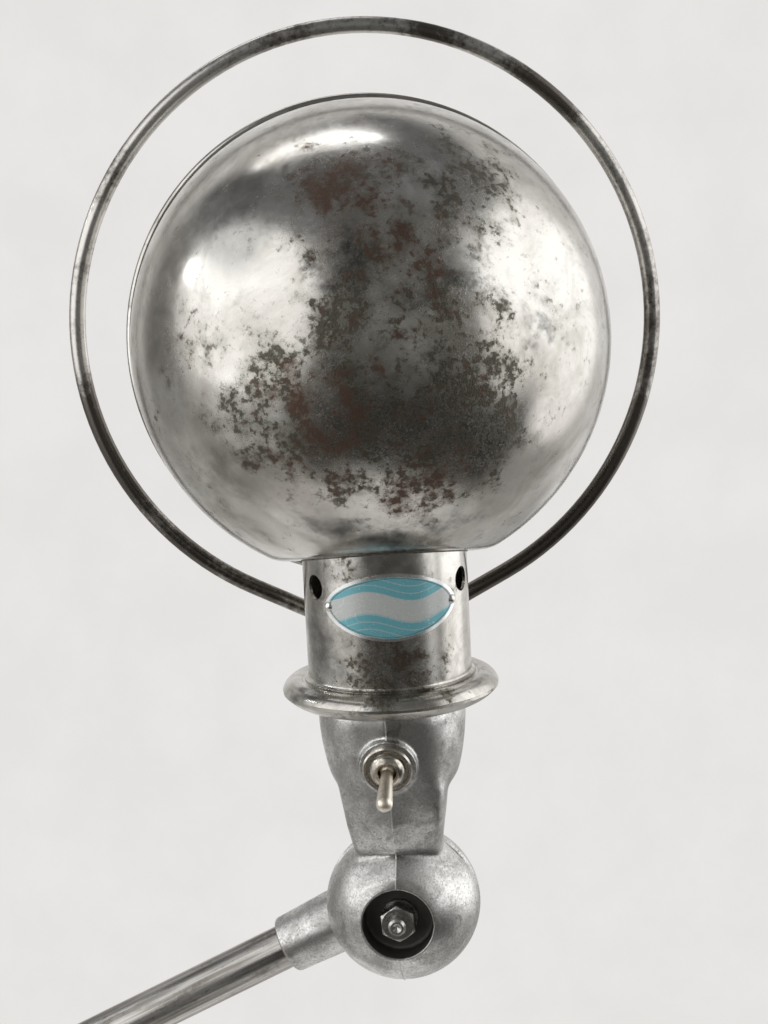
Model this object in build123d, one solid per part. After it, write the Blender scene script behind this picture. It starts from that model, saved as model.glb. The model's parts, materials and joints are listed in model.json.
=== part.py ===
"""Two-arm desk lamp: a round cast base, two steel-tube arms, three friction ball joints and a
turning head with a domed reflector, a wire handle ring, a toggle switch and a screw lampholder.

Millimetres, +Z up. The origin is the centre of the footprint, on the surface the lamp stands on.
The arms swing in planes parallel to XZ. All ball centres lie in one plane, and each ball is two
half balls that meet there: the rear half (towards +Y) and the front half (towards -Y).
"""

import os
from math import asin, atan2, cos, degrees, radians, sin, sqrt, tan

from build123d import *

# ---------------------------------------------------------------- pose at rest (degrees)
lower_arm_angle = 115.0  # from +X, seen from the front
upper_arm_angle = 28.7
neck_lean = 2.85  # neck axis off the vertical, towards -X
head_turn = 9.2  # collar about the neck axis

# ---------------------------------------------------------------- fits
running_gap = 0.05  # between faces that turn on each other
seat_gap = 0.02  # between faces that are fixed together
thread_core = 0.15  # a screw's body stands this much inside its hole
clearance_hole = 0.25  # round a screw that passes through a sheet
fine_bevel = 0.5
edge_bevel = 1.0

# ---------------------------------------------------------------- ball joints
ball_radius = 26.6
mating_bevel = 0.7
recess_radius = 11.95  # well for the nut and for the bolt head
recess_floor = 14.6  # from the mating plane
recess_bevel = 0.5
cavity_radius = 19.0  # annular chamber for the contact discs
cavity_depth = 3.5
boss_radius = 6.0  # round the bolt, inside the chamber
wire_bore_radius = 3.0

bolt_radius = 3.0
bolt_point = 0.8  # bevel at the bolt's end
bolt_centre_radius = 1.6  # turned centre in the bolt's end
bolt_head_height = 4.0
bolt_proud = 3.6  # bolt end beyond the nut
hex_across_flats = 11.0
nut_height = 5.2
nut_turn = 8.0  # degrees, as the nut happens to stand
nut_crown_width = 1.2
nut_crown = 0.4
washer_radius = 6.2
washer_thickness = 1.4
spring_washer_thickness = 1.6
spring_washer_inset = 0.7
spring_washer_split = 0.8

disc_thickness = 2.0  # insulating discs
track_radii = (10.5, 15.5)  # centre lines of the two contact tracks
track_width = 3.0
track_thickness = 0.6
brush_width = 2.2
brush_length = 11.0
brush_thickness = 0.4

# ---------------------------------------------------------------- arms
arm_length = 400.0  # ball centre to ball centre
tube_radius = 7.85
tube_wall = 1.5
socket_offset = 14.15  # tube axis from the mating plane
socket_reach = 48.5  # ball centre to the socket's mouth
socket_mouth_radius = 10.2
socket_draft = 2.5  # degrees
socket_round = 1.2
tube_seat = 25.0  # ball centre to the tube's end
lead_radius = 2.6

# ---------------------------------------------------------------- base
base_radius = 100.0
base_side_height = 20.0
base_side_lean = 1.0  # the side draws in by this much
base_edge_round = 8.0
base_roof = 16.0  # underside of the top plate
base_slope_height = 34.0  # where the top meets the hub
rim_width = 20.0
pad_inset = 4.0
pad_width = 9.0
pad_thickness = 4.5
pad_proud = 2.5
plate_thickness = 1.5
hub_radius = 24.0
hub_top = 45.0
hub_round = 9.0
hub_bevel = 1.5
rib_thickness = 5.0
rib_count = 6
rib_lift = 2.0  # above the bottom plate
rib_start = 6.0  # outside the ring nut
plate_screw_count = 3
plate_screw_inset = 10.0  # from the rim's inner wall
plate_screw_turn = 30.0  # degrees
plate_boss_radius = 4.5
base_screw_radius = 1.5
base_screw_length = 8.0
base_screw_head = (2.8, 1.8)  # radius, height
terminal_inset = 28.0  # from the rim's inner wall
terminal_size = (22.0, 14.0)
terminal_floor = 7.0
terminal_pitch = 11.0
terminal_lead_radius = 1.8
terminal_screw_radius = 2.2
inlet_height = 10.0
inlet_spot_depth = 2.0
inlet_bore_radius = 3.3
grommet_radius = 5.0
grommet_flange_radius = 7.0
grommet_flange = 2.5

spigot_radius = 9.0
spigot_bore_radius = 4.0
thrust_washer = 1.0
stem_flange_radius = 17.0
stem_flange = 4.0
shoulder_height = 91.0
swivel_spring = 1.5
swivel_nut_height = 6.0
swivel_nut_flats = 26.0
stop_height = 35.0
stop_tip_radius = 1.5
stop_screw_step = 0.5  # screw's body beyond its tip
stop_key_flats = 2.5
stop_groove_depth = 2.4
stop_lug_width = 2.4
pillar_flare = 5.0  # height over which the flange runs into the pillar

# ---------------------------------------------------------------- neck
collar_offset = 6.0  # neck axis in front of the mating plane
ridge_slope = 12.0  # degrees, each front facet
ridge_top = (30.2, 78.0)  # (in front of the mating plane, up the neck)
ridge_middle = (26.9, 48.0)
ridge_foot = (14.6, 16.0)
bar_half_width_foot = 14.2  # at bar_foot
bar_foot = 17.0
bar_half_width_top = 18.3  # at bar_top
bar_top = 47.0
bar_corner = 4.0
bar_back_step = 28.0
bar_back_swell = 6.0  # behind the mating plane, at the cup
shoulder_at = (20.0, 24.0)  # front edge of the step where the bar ends on the ball
shoulder_slope = 19.0
cup_radius = 25.0
cup_waist = (21.8, 48.6)
cup_foot = (12.0, 43.0)
cup_top = 74.0
cup_bore = 20.0
cup_floor = 48.2
spigot_wall_radius = 23.2
seat_ring_radius = 36.2
seat_ring_height = 5.0
lip_thickness = 1.6
lip_radius = 23.4

# ---------------------------------------------------------------- switch
switch_height = 56.3
switch_tilt = 12.0  # degrees, axis below the horizontal of the neck
switch_boss_radius = 9.6
switch_boss = 1.0
bushing_radius = 6.0
bezel_radius = 8.3
bezel_height = 1.9
bushing_proud = 4.2
bushing_depth = 6.5  # behind the boss's face
lever_pivot_depth = 3.4
lever_ball_radius = 2.7
lever_root_radius = 1.9
lever_tip_radius = 2.75
lever_length = 18.8
lever_tail = (1.2, 6.0)  # radius, length
lever_throw = 28.0  # degrees, all the way
lever_hole_radius = 3.05
switch_body_width = 14.0
switch_body_depth = 15.0
switch_pocket = (5.0, 9.0, 6.0)
switch_tag = (0.8, 5.0, 6.0)
switch_tag_pitch = 7.0

# ---------------------------------------------------------------- head
collar_radius = 27.5
collar_wall = 1.0
collar_height = 44.0  # on its axis, from the seat to the dome's flat
bead_radius = 36.4
bead_crest_radius = 30.0
bead_top = 3.6  # above the seat ring
ledge_radius = 28.8
ledge_height = 4.2
vent_radius = 4.1
vent_drop = 6.7  # below the dome's flat, on the collar's axis
vent_angle = 61.0

reflector_radius = 80.3
reflector_wall = 1.0
reflector_setback = 16.2  # dome centre in front of the collar axis
rim_depth = 14.6  # rim beyond the dome centre
seat_distance = 72.0  # dome centre to the flat that the collar is welded to
seat_blend = 14.0
rim_wire = 1.5
rim_radius = 80.9
lamp_hole_radius = 22.5

handle_top_radius = 96.8
handle_side_radius = 100.4
handle_top_half = 30.0  # degrees, half of the top arc
handle_slope = 27.0  # degrees, of the straight ends
handle_rod = 2.8
handle_drop = 24.48  # rod ends below the dome's flat, where they turn in
handle_setback = 32.0  # ring in front of the collar axis
handle_bend = 6.5
handle_turn_in = 24.0  # half distance between the rod ends where they turn in
handle_screw_radius = 2.0
handle_screw_length = 5.6
handle_nut_flats = 7.0
handle_nut_height = 2.4

badge_drop = 12.1  # middle of the badge below the dome's flat, on the collar's axis
badge_half_arc = 24.3
badge_half_height = 11.1
badge_thickness = 0.6
badge_fullness = 1.8  # powers of the oval's outline
badge_bluntness = 0.6
rivet_angle = 46.0
rivet_radius = 1.6
rivet_head = 0.9
rivet_shank_radius = 1.0

# ---------------------------------------------------------------- lampholder and bulb
holder_plate = 1.6
holder_plate_gap = 0.6  # inside the collar
holder_wire_hole = 4.0
holder_radius = 18.4
holder_height = 36.0
holder_floor = 5.5
holder_foot = (1.6, 7.0, 2.0)  # inset, height and slope of the narrower foot
holder_lip = (2.0, 2.0)  # width and height of the rounded top edge
shell_radius = 14.0
shell_wall = 0.4
contact_rise = 3.4
contact_strip = 0.6
plate_screw_radius = 1.25
plate_screw_spread = 30.0  # degrees, where the first of three stands
holder_screw_radius = 1.5
holder_screw_spacing = 11.0
bulb_radius = 27.5
bulb_length = 98.0
bulb_cap_radius = 13.2
bulb_cap_length = 25.0
bulb_neck_radius = 13.0
bulb_shoulder = 40.0  # degrees below the head's equator where the taper starts
bulb_glass = 0.8

# ---------------------------------------------------------------- levels and circles that follow
plate_screw_circle = base_radius - rim_width - plate_screw_inset
terminal_distance = base_radius - rim_width - terminal_inset
seat_top = cup_top + seat_ring_height  # the collar turns on this face
plate_base = seat_top + lip_thickness + 2 * running_gap
holder_base = plate_base + holder_plate
bulb_base = holder_base + holder_floor + contact_rise
holder_screw_circle = (cup_bore + spigot_wall_radius) / 2

flat_tilt = degrees(asin(reflector_setback / reflector_radius))
flat_height = seat_top + collar_height
flat_to_centre = (seat_distance - reflector_setback * sin(radians(flat_tilt))) / cos(radians(flat_tilt))
reflector_height = flat_height + flat_to_centre
handle_end_height = flat_height - handle_drop
handle_shift = handle_top_radius - handle_side_radius
straight_x = handle_shift * sin(radians(handle_top_half)) + handle_side_radius * sin(radians(handle_slope))
straight_rise = handle_shift * cos(radians(handle_top_half)) - handle_side_radius * cos(radians(handle_slope))
handle_height = handle_end_height - straight_rise + (straight_x - handle_turn_in) * tan(radians(handle_slope))
handle_end_angle = 180 - degrees(atan2(handle_turn_in, handle_setback))
vent_height = flat_height - vent_drop
badge_height = flat_height - badge_drop


def polar(radius, angle):
    """Point in the XZ plane at a distance and an angle from +X."""
    return Vector(radius * cos(radians(angle)), 0, radius * sin(radians(angle)))


shoulder = Vector(0, -socket_offset, shoulder_height)
elbow = shoulder + polar(arm_length, lower_arm_angle)
wrist = elbow + polar(arm_length, upper_arm_angle)

# In a half's frame z runs out from the mating plane and x along the arm.
front = Rot(90, 0, 0)
rear = Rot(-90, 0, 0)


def arm_frame(at, angle):
    """Frame at a ball centre with x along an arm that stands at the angle."""
    return Pos(at.X, at.Y, at.Z) * Rot(0, -angle, 0)


lower_frame = arm_frame(shoulder, lower_arm_angle)
upper_frame = arm_frame(elbow, upper_arm_angle)
neck_frame = arm_frame(wrist, neck_lean)
head_frame = neck_frame * Pos(0, -collar_offset, 0) * Rot(0, 0, head_turn)


# ---------------------------------------------------------------- shape helpers
def turned(outline):
    """Solid turned about Z from a closed (radius, height) outline of curves, or from a face."""
    placed_outline = Plane.XZ * outline
    face = placed_outline if isinstance(outline, Circle) else make_face(placed_outline)
    return revolve(face, Axis.Z)


def turned_polygon(*points):
    """Solid turned about Z from straight (radius, height) points."""
    return turned(Polyline(*points, close=True))


def ring(inner, outer, low, high):
    """Plain ring about Z."""
    return turned_polygon((inner, low), (outer, low), (outer, high), (inner, high))


def rod(radius, low, high):
    """Plain cylinder about Z between two heights."""
    return Pos(0, 0, low) * extrude(Circle(radius), high - low)


def hex_prism(flats, low, high, chamfered_ends=(True, True)):
    """Hexagon about Z with the corners turned off at 30 degrees at the chosen ends."""
    corner = flats / sqrt(3)
    face = flats / 2 * 0.97
    drop = (corner - face) * tan(radians(30))
    prism = Pos(0, 0, low) * extrude(RegularPolygon(corner, 6), high - low)
    wide = corner + 1
    wide_drop = drop + tan(radians(30))
    if chamfered_ends[0]:
        prism &= turned_polygon((0, low), (face, low), (wide, low + wide_drop), (wide, high), (0, high))
    if chamfered_ends[1]:
        prism &= turned_polygon((0, high), (face, high), (wide, high - wide_drop), (wide, low), (0, low))
    return prism


def cap_arc(radius, low, height):
    """Arc of a spherical cap from its edge up to the axis, as (radius, height) curve."""
    sphere = (radius**2 + height**2) / (2 * height)
    half = atan2(radius, sphere - height) / 2
    middle = (sphere * sin(half), low + height - sphere + sphere * cos(half))
    return ThreePointArc((radius, low), middle, (0, low + height))


def slotted_screw(radius, length, head_radius, head_height):
    """Pan-head screw along Z: the head stands up from z = 0 and the shank hangs below."""
    side = head_height * 0.45
    dome = cap_arc(head_radius, side, head_height - side)
    sides = Polyline((0, head_height), (0, -length), (radius * 0.7, -length), (radius, radius * 0.4 - length))
    foot = Polyline((radius, radius * 0.4 - length), (radius, 0), (head_radius, 0), (head_radius, side))
    slot = Pos(0, 0, head_height) * Box(2 * head_radius, head_radius * 0.3, head_height)
    return turned(dome + sides + foot) - slot


def around(count, radius, shape, start=0.0):
    """Copies of a shape set out evenly on a circle about Z."""
    step = 360 / count
    return [Rot(0, 0, start + i * step) * Pos(radius, 0, 0) * shape for i in range(count)]


# ---------------------------------------------------------------- ball joint pieces
def ball_blank():
    """Half ball on the z > 0 side, with a fine bevel round the mating edge."""
    low = running_gap
    bevel_at = sqrt(ball_radius**2 - (low + mating_bevel) ** 2)
    middle = polar(ball_radius, 45)
    outline = Polyline((0, low), (ball_radius - mating_bevel, low), (bevel_at, low + mating_bevel))
    outline += ThreePointArc((bevel_at, low + mating_bevel), (middle.X, middle.Z), (0, ball_radius))
    outline += Line((0, ball_radius), (0, low))
    return turned(outline)


def ball_void():
    """What every half ball has cut out: contact chamber, bolt hole and nut well."""
    bore = bolt_radius + running_gap
    rim = sqrt(ball_radius**2 - recess_radius**2)
    well = turned_polygon(
        (0, recess_floor),
        (recess_radius, recess_floor),
        (recess_radius, rim - recess_bevel),
        (recess_radius + 2 * recess_bevel, rim + recess_bevel),
        (recess_radius + 2 * recess_bevel, 2 * ball_radius),
        (0, 2 * ball_radius),
    )
    return rod(bore, -1, recess_floor + 1) + ring(boss_radius, cavity_radius, -1, cavity_depth) + well


def socket_blank(reach, mouth_radius):
    """Tapered boss along +x that grows out of the half ball round the tube's axis."""
    root = tube_seat - 3.5
    root_radius = mouth_radius + (socket_reach - root) * tan(radians(socket_draft))
    nose = root - 0.9 * root_radius
    nose_middle = (root_radius * cos(radians(45)), root - 0.9 * root_radius * sin(radians(45)))
    mouth_low = (mouth_radius + socket_round * tan(radians(socket_draft)), reach - socket_round)
    outline = Polyline((0, nose), (0, reach), (mouth_radius - socket_round, reach))
    outline += ThreePointArc(
        (mouth_radius - socket_round, reach),
        (mouth_radius - 0.29 * socket_round, reach - 0.29 * socket_round),
        mouth_low,
    )
    outline += Line(mouth_low, (root_radius, root))
    outline += ThreePointArc((root_radius, root), nose_middle, (0, nose))
    return Pos(0, 0, socket_offset) * Rot(0, 90, 0) * turned(outline)


def wire_channel(start):
    """Slanted bore from the arm's axis at a distance along x down into the contact chamber."""
    end = Vector(cavity_radius - wire_bore_radius - 1, 0, cavity_depth - 1)
    path = Line((start, 0, socket_offset), end)
    return sweep(Plane(path @ 0, z_dir=path % 0) * Circle(wire_bore_radius), path)


def arm_socket():
    """Cast arm end: half ball with a socket for the tube."""
    tube_hole = rod(tube_radius + seat_gap, tube_seat, socket_reach + 1)
    body = ball_blank() + socket_blank(socket_reach, socket_mouth_radius)
    body -= ball_void()
    body -= Pos(0, 0, socket_offset) * Rot(0, 90, 0) * tube_hole
    return body - wire_channel(tube_seat + 1)


def contact_disc():
    """Insulating disc that fills the floor of the chamber."""
    low = cavity_depth - disc_thickness
    return ring(boss_radius + seat_gap, cavity_radius - seat_gap, low, cavity_depth - seat_gap)


def contact_tracks():
    """Two rings of sheet copper on the disc."""
    high = cavity_depth - disc_thickness - seat_gap
    half = track_width / 2
    return [ring(r - half, r + half, high - track_thickness, high) for r in track_radii]


def contact_brushes():
    """Two sprung copper bows that reach across the mating plane to the tracks."""
    foot = cavity_depth - disc_thickness - seat_gap
    touch = track_thickness + seat_gap + running_gap + disc_thickness - cavity_depth
    half = brush_length / 2
    inner_half = half - 2 * brush_thickness
    bow = ThreePointArc((-half, foot), (0, touch), (half, foot))
    inner = ThreePointArc((-inner_half, foot), (0, touch + brush_thickness), (inner_half, foot))
    ends = Line(bow @ 0, inner @ 0) + Line(bow @ 1, inner @ 1)
    blade = extrude(make_face(Plane.XZ * (bow + inner + ends)), brush_width / 2, both=True)
    return [Rot(0, 0, 90 * i) * Pos(0, r, 0) * blade for i, r in enumerate(track_radii)]


def joint_bolt():
    """Hexagon bolt along z: its head is in the rear well and its end shows in the front one."""
    stack = running_gap + washer_thickness + spring_washer_thickness + nut_height
    end = -(recess_floor + stack + bolt_proud)
    top = recess_floor + bolt_head_height
    shank = turned_polygon(
        (0, end),
        (bolt_radius - bolt_point, end),
        (bolt_radius, end + bolt_point),
        (bolt_radius, top - edge_bevel),
        (0, top - edge_bevel),
    )
    dimple = bolt_centre_radius
    centre = turned_polygon((0, end + 1), (dimple, end), (dimple, end - 1), (0, end - 1))
    return shank + hex_prism(hex_across_flats, recess_floor + seat_gap, top, (False, True)) - centre


def joint_nut():
    """Nut in the front well, crowned on its outer face."""
    face = recess_floor + running_gap + washer_thickness + spring_washer_thickness
    top = face + nut_height
    hole = rod(bolt_radius + seat_gap, face - 1, top + 1)
    crown = ring(bolt_radius + seat_gap, bolt_radius + nut_crown_width, top - fine_bevel, top + nut_crown)
    return Rot(0, 0, nut_turn) * (hex_prism(hex_across_flats, face + seat_gap, top) - hole + crown)


def joint_washers():
    """Flat washer and split spring washer under the nut."""
    bore = bolt_radius + 2 * running_gap
    face = recess_floor + running_gap
    flat = ring(bore, washer_radius, face, face + washer_thickness)
    high = face + washer_thickness + spring_washer_thickness
    spring = ring(bore, washer_radius - spring_washer_inset, face + washer_thickness + seat_gap, high)
    cut = Box(2 * washer_radius, spring_washer_split, 3 * spring_washer_thickness)
    return [flat, spring - Pos(washer_radius, 0, high) * Rot(25, 0, 0) * cut]


# ---------------------------------------------------------------- base
def base_outline():
    """Half section of the foot: rim, rounded edge, sloped top, hub and the hollow below."""
    bore = spigot_radius + running_gap
    lean_in = base_radius - base_side_lean
    edge = base_edge_round
    side_top = (lean_in, base_side_height)
    edge_middle = (lean_in - 0.29 * edge, base_side_height + 0.56 * edge)
    slope_foot = (lean_in - edge, base_side_height + 0.75 * edge)
    slope_head = (hub_radius + hub_round, base_slope_height)
    hub_middle = (hub_radius + 0.27 * hub_round, base_slope_height + 0.24 * hub_round)
    hub_foot = (hub_radius, base_slope_height + 0.8 * hub_round)
    inner = base_radius - rim_width
    outline = Polyline((bore, hub_top), (hub_radius - hub_bevel, hub_top), (hub_radius, hub_top - hub_bevel))
    outline += Line((hub_radius, hub_top - hub_bevel), hub_foot)
    outline += ThreePointArc(hub_foot, hub_middle, slope_head)
    outline += Line(slope_head, slope_foot)
    outline += ThreePointArc(slope_foot, edge_middle, side_top)
    outline += Line(side_top, (base_radius, pad_proud + edge_bevel))
    outline += Line((base_radius, pad_proud + edge_bevel), (base_radius - edge_bevel, pad_proud))
    outline += Polyline((base_radius - edge_bevel, pad_proud), (inner, pad_proud), (inner, base_roof))
    return outline + Polyline((inner, base_roof), (bore, base_roof), (bore, hub_top))


def base_casting():
    """Heavy round foot: raised rim, gently sloped top, hub, open underside with ribs."""
    inner = base_radius - rim_width
    pad_outer = base_radius - pad_inset
    plate_top = pad_proud + plate_thickness
    body = turned(base_outline())
    body -= ring(pad_outer - pad_width - seat_gap, pad_outer + seat_gap, pad_proud - 1, pad_thickness)
    body -= rod(inner + edge_bevel + seat_gap, pad_proud - 1, plate_top + seat_gap)
    rib_inner = swivel_nut_flats / 2 + rib_start
    rib_low = plate_top + rib_lift
    rib_size = (inner + 1 - rib_inner, rib_thickness, base_roof + 1 - rib_low)
    rib = Box(*rib_size, align=(Align.MIN, Align.CENTER, Align.MIN))
    for placed_rib in around(rib_count, rib_inner, Pos(0, 0, rib_low) * rib):
        body += placed_rib
    boss = rod(plate_boss_radius, plate_top + seat_gap, base_roof + 1)
    hole = rod(base_screw_radius + thread_core, 0, base_roof - 3)
    for screw_boss in around(plate_screw_count, plate_screw_circle, boss, start=plate_screw_turn):
        body += screw_boss
    for screw_hole in around(plate_screw_count, plate_screw_circle, hole, start=plate_screw_turn):
        body -= screw_hole
    inlet = rod(grommet_radius + seat_gap, inner - 4, base_radius + 1)
    inlet += rod(grommet_flange_radius + 0.3, base_radius - inlet_spot_depth, base_radius + 5)
    body -= Pos(0, 0, inlet_height) * Rot(-90, 0, 0) * inlet
    stop_hole = rod(stop_tip_radius + stop_screw_step + seat_gap, 0, hub_radius + 1)
    return body - Pos(0, 0, stop_height) * Rot(-90, 0, 0) * stop_hole


def base_pad():
    """Rubber ring let into the rim, which the lamp stands on."""
    outer = base_radius - pad_inset
    pad = ring(outer - pad_width, outer, 0, pad_thickness - seat_gap)
    return fillet(pad.edges().filter_by(GeomType.CIRCLE).group_by(Axis.Z)[0], 1.0)


def base_bottom_plate():
    """Sheet-steel cover under the base."""
    low = pad_proud + seat_gap
    plate = rod(base_radius - rim_width + edge_bevel, low, low + plate_thickness - seat_gap)
    hole = rod(base_screw_radius + clearance_hole, 0, base_roof)
    for screw_hole in around(plate_screw_count, plate_screw_circle, hole, start=plate_screw_turn):
        plate -= screw_hole
    return plate


def base_plate_screws():
    """Screws that hold the bottom plate; their heads stay above the standing surface."""
    screw = Rot(180, 0, 0) * slotted_screw(base_screw_radius, base_screw_length, *base_screw_head)
    seated = Pos(0, 0, pad_proud + seat_gap) * screw
    return around(plate_screw_count, plate_screw_circle, seated, start=plate_screw_turn)


def cable_grommet():
    """Rubber bush that lines the lead's way into the base."""
    inner_end = base_radius - rim_width
    face = base_radius - inlet_spot_depth + seat_gap
    tip = face + grommet_flange
    mouth = inlet_bore_radius + 1.4
    outline = Polyline((inlet_bore_radius, inner_end), (grommet_radius, inner_end), (grommet_radius, face))
    outline += Line((grommet_radius, face), (grommet_flange_radius, face))
    rounding = (grommet_flange_radius - 0.8, tip - 0.7)
    outline += ThreePointArc((grommet_flange_radius, face), rounding, (mouth, tip))
    outline += Polyline((mouth, tip), (inlet_bore_radius, tip), (inlet_bore_radius, inner_end))
    return Pos(0, 0, inlet_height) * Rot(-90, 0, 0) * turned(outline)


def terminal_block():
    """Two-way screw terminal under the roof, between the inlet and the spigot."""
    width, depth = terminal_size
    height = base_roof - seat_gap - terminal_floor
    block = Box(width, depth, height, align=(Align.CENTER, Align.CENTER, Align.MIN))
    block = chamfer(block.edges().group_by(Axis.Z)[0], edge_bevel)
    for side in (-1, 1):
        way = Pos(side * terminal_pitch / 2, 0, 0)
        block -= way * Pos(0, 0, height / 2) * Rot(90, 0, 0) * Cylinder(terminal_lead_radius, depth + 2)
        block -= way * Cylinder(terminal_screw_radius, 3)
    return Pos(0, terminal_distance, terminal_floor) * block


def thrust_washer_ring():
    """Fibre washer between the hub and the stem."""
    low, high = hub_top + seat_gap, hub_top + thrust_washer
    return ring(spigot_radius + 2 * running_gap, stem_flange_radius - edge_bevel, low, high)


def stop_screw():
    """Grub screw in the hub whose tip runs in the spigot's groove and stops the swivel."""
    tip = spigot_radius - stop_groove_depth + 0.3
    step = spigot_radius + 1
    end = hub_radius - 1
    body_radius = stop_tip_radius + stop_screw_step
    screw = turned_polygon(
        (0, tip),
        (stop_tip_radius - 0.4, tip),
        (stop_tip_radius, tip + 0.4),
        (stop_tip_radius, step),
        (body_radius, step + stop_screw_step),
        (body_radius, end),
        (0, end),
    )
    key = hex_prism(stop_key_flats, end - 3, end + 1, (False, False))
    return Pos(0, 0, stop_height) * Rot(-90, 0, 0) * (screw - key)


def stem_flange_blank():
    """Turned flange that runs up into the pillar in a soft flare."""
    low = hub_top + thrust_washer + running_gap
    high = low + stem_flange
    flange, pillar, flare_top = stem_flange_radius, socket_mouth_radius, high + pillar_flare
    outline = Polyline((0, low), (flange, low), (flange, high - 1.0))
    outline += ThreePointArc((flange, high - 1.0), (flange - 0.3, high - 0.3), (flange - 1.0, high))
    outline += ThreePointArc((flange - 1.0, high), (pillar + 1.6, high + 1.4), (pillar, flare_top))
    outline += Polyline((pillar, flare_top), (0, flare_top), (0, low))
    return turned(outline)


def stem_casting():
    """Lower half of the shoulder joint on a pillar, with the hollow spigot that turns in the hub."""
    flange_low = hub_top + thrust_washer + running_gap
    half_ball = ball_blank() + socket_blank(shoulder_height - flange_low - fine_bevel, socket_mouth_radius)
    half_ball -= ball_void()
    half_ball -= wire_channel(tube_seat + 1)
    body = Pos(shoulder.X, shoulder.Y, shoulder.Z) * Rot(0, 90, 0) * rear * half_ball
    low = base_roof - swivel_spring - swivel_nut_height - fine_bevel
    spigot = rod(spigot_radius, low, flange_low + 1)
    groove_half = stop_tip_radius + 0.9
    groove_low, groove_high = stop_height - groove_half, stop_height + groove_half
    groove = ring(spigot_radius - stop_groove_depth, spigot_radius + 1, groove_low, groove_high)
    lug = Pos(0, -spigot_radius, stop_height) * Box(stop_lug_width, 2 * spigot_radius, 3 * groove_half)
    body += stem_flange_blank() + (spigot - (groove - lug))
    return body - rod(spigot_bore_radius, low - 1, shoulder_height - tube_seat)


def swivel_spring_washer():
    """Crinkle washer between the roof and the ring nut."""
    low, high = base_roof - swivel_spring, base_roof - running_gap
    return ring(spigot_radius + 4 * running_gap, swivel_nut_flats / 2 - edge_bevel, low, high)


def swivel_nut():
    """Thin nut on the spigot's end."""
    high = base_roof - swivel_spring - seat_gap
    nut = hex_prism(swivel_nut_flats, high - swivel_nut_height, high)
    return nut - rod(spigot_radius + seat_gap, 0, base_roof)


# ---------------------------------------------------------------- arms
def arm_tube():
    """Steel tube between the two sockets, along x."""
    tube = ring(tube_radius - tube_wall, tube_radius, tube_seat + seat_gap, arm_length - tube_seat - seat_gap)
    return Pos(0, 0, socket_offset) * Rot(0, 90, 0) * tube


def arm_lead():
    """Two-core lead inside the tube."""
    lead = rod(lead_radius, tube_seat + 1, arm_length - tube_seat - 1)
    return Pos(0, 0, socket_offset) * Rot(0, 90, 0) * lead


# ---------------------------------------------------------------- neck
def neck_point(ahead, up, side=0.0):
    """Point in the neck's frame: in front of the mating plane, up the neck, to the right."""
    return Vector(side, -ahead, up)


def prow():
    """Envelope of the two front facets, which meet in a curved central ridge."""
    ridge = ThreePointArc(neck_point(*ridge_top), neck_point(*ridge_middle), neck_point(*ridge_foot))
    back = 40.0
    sides = Polyline(ridge @ 1, neck_point(-back, ridge_foot[1]), neck_point(-back, ridge_top[1]), ridge @ 0)
    profile = make_face(ridge + sides)
    lean = radians(ridge_slope)
    right = extrude(profile, cup_radius * 1.6, dir=(cos(lean), sin(lean), 0))
    left = extrude(profile, cup_radius * 1.6, dir=(-cos(lean), sin(lean), 0))
    return right + left


def neck_bar():
    """Flat bar between the half ball and the cup, tapering towards the ball."""
    outline = Polyline(
        (-bar_half_width_foot, bar_foot),
        (bar_half_width_foot, bar_foot),
        (bar_half_width_top, bar_top),
        (-bar_half_width_top, bar_top),
        close=True,
    )
    ahead, wide = ball_radius + 14, ball_radius
    slab = extrude(make_face(Plane.XZ * outline), ahead, both=True)
    side = Polyline(
        neck_point(running_gap, bar_foot - 1),
        neck_point(running_gap, bar_back_step),
        neck_point(-bar_back_swell, bar_top - 1),
        neck_point(-bar_back_swell, bar_top + 1),
        neck_point(ahead, bar_top + 1),
        neck_point(ahead, bar_foot - 1),
        close=True,
    )
    bar = slab & extrude(make_face(side), wide, both=True) & prow()
    corners = [e for e in bar.edges() if e.length > 20 and abs(e.center().X) > 12 and e.center().Y < -12]
    return fillet(corners, bar_corner)


def neck_cup():
    """Solid of the cup above the bar, rounded in at its waist and cut by the front facets."""
    (waist, waist_height), (foot, foot_height) = cup_waist, cup_foot
    belly = (cup_radius - 1.1, (waist_height + cup_top) / 2 - 3)
    heel = ((waist + foot) / 2 + 1.7, foot_height + 1.7)
    outline = Polyline((0, cup_top), (0, foot_height), cup_foot)
    outline += ThreePointArc(cup_foot, heel, cup_waist)
    outline += ThreePointArc(cup_waist, belly, (cup_radius, cup_top))
    outline += Line((cup_radius, cup_top), (0, cup_top))
    return (Pos(0, -collar_offset, 0) * turned(outline)) & prow()


def neck_casting():
    """Cast neck: half ball, faceted bar and hollow cup with the collar's spigot on top."""
    axis = Pos(0, -collar_offset, 0)
    spigot_top = plate_base - running_gap
    below = Box(4 * cup_radius, 5 * cup_radius, 30, align=(Align.CENTER, Align.CENTER, Align.MAX))
    body = neck_bar() - Pos(0, -shoulder_at[0], shoulder_at[1]) * Rot(-shoulder_slope, 0, 0) * below
    body += neck_cup()
    body += front * ball_blank()
    body += switch_frame() * rod(switch_boss_radius, -bushing_depth, 0)
    body -= front * ball_void()
    body += axis * rod(spigot_wall_radius, cup_top - 1, spigot_top)
    body -= axis * rod(cup_bore, cup_floor, spigot_top + 1)
    hole = rod(plate_screw_radius + thread_core, cup_top, spigot_top + 1)
    for screw_hole in around(3, holder_screw_circle, hole, start=plate_screw_spread):
        body -= axis * screw_hole
    chamber = neck_point(cavity_depth - 1, cavity_radius - wire_bore_radius - 1)
    channel = Line(neck_point(collar_offset, cup_floor + 1), chamber)
    body -= sweep(Plane(channel @ 0, z_dir=channel % 0) * Circle(wire_bore_radius), channel)
    return body - switch_frame() * rod(bushing_radius + seat_gap, -ball_radius, 1)


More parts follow.
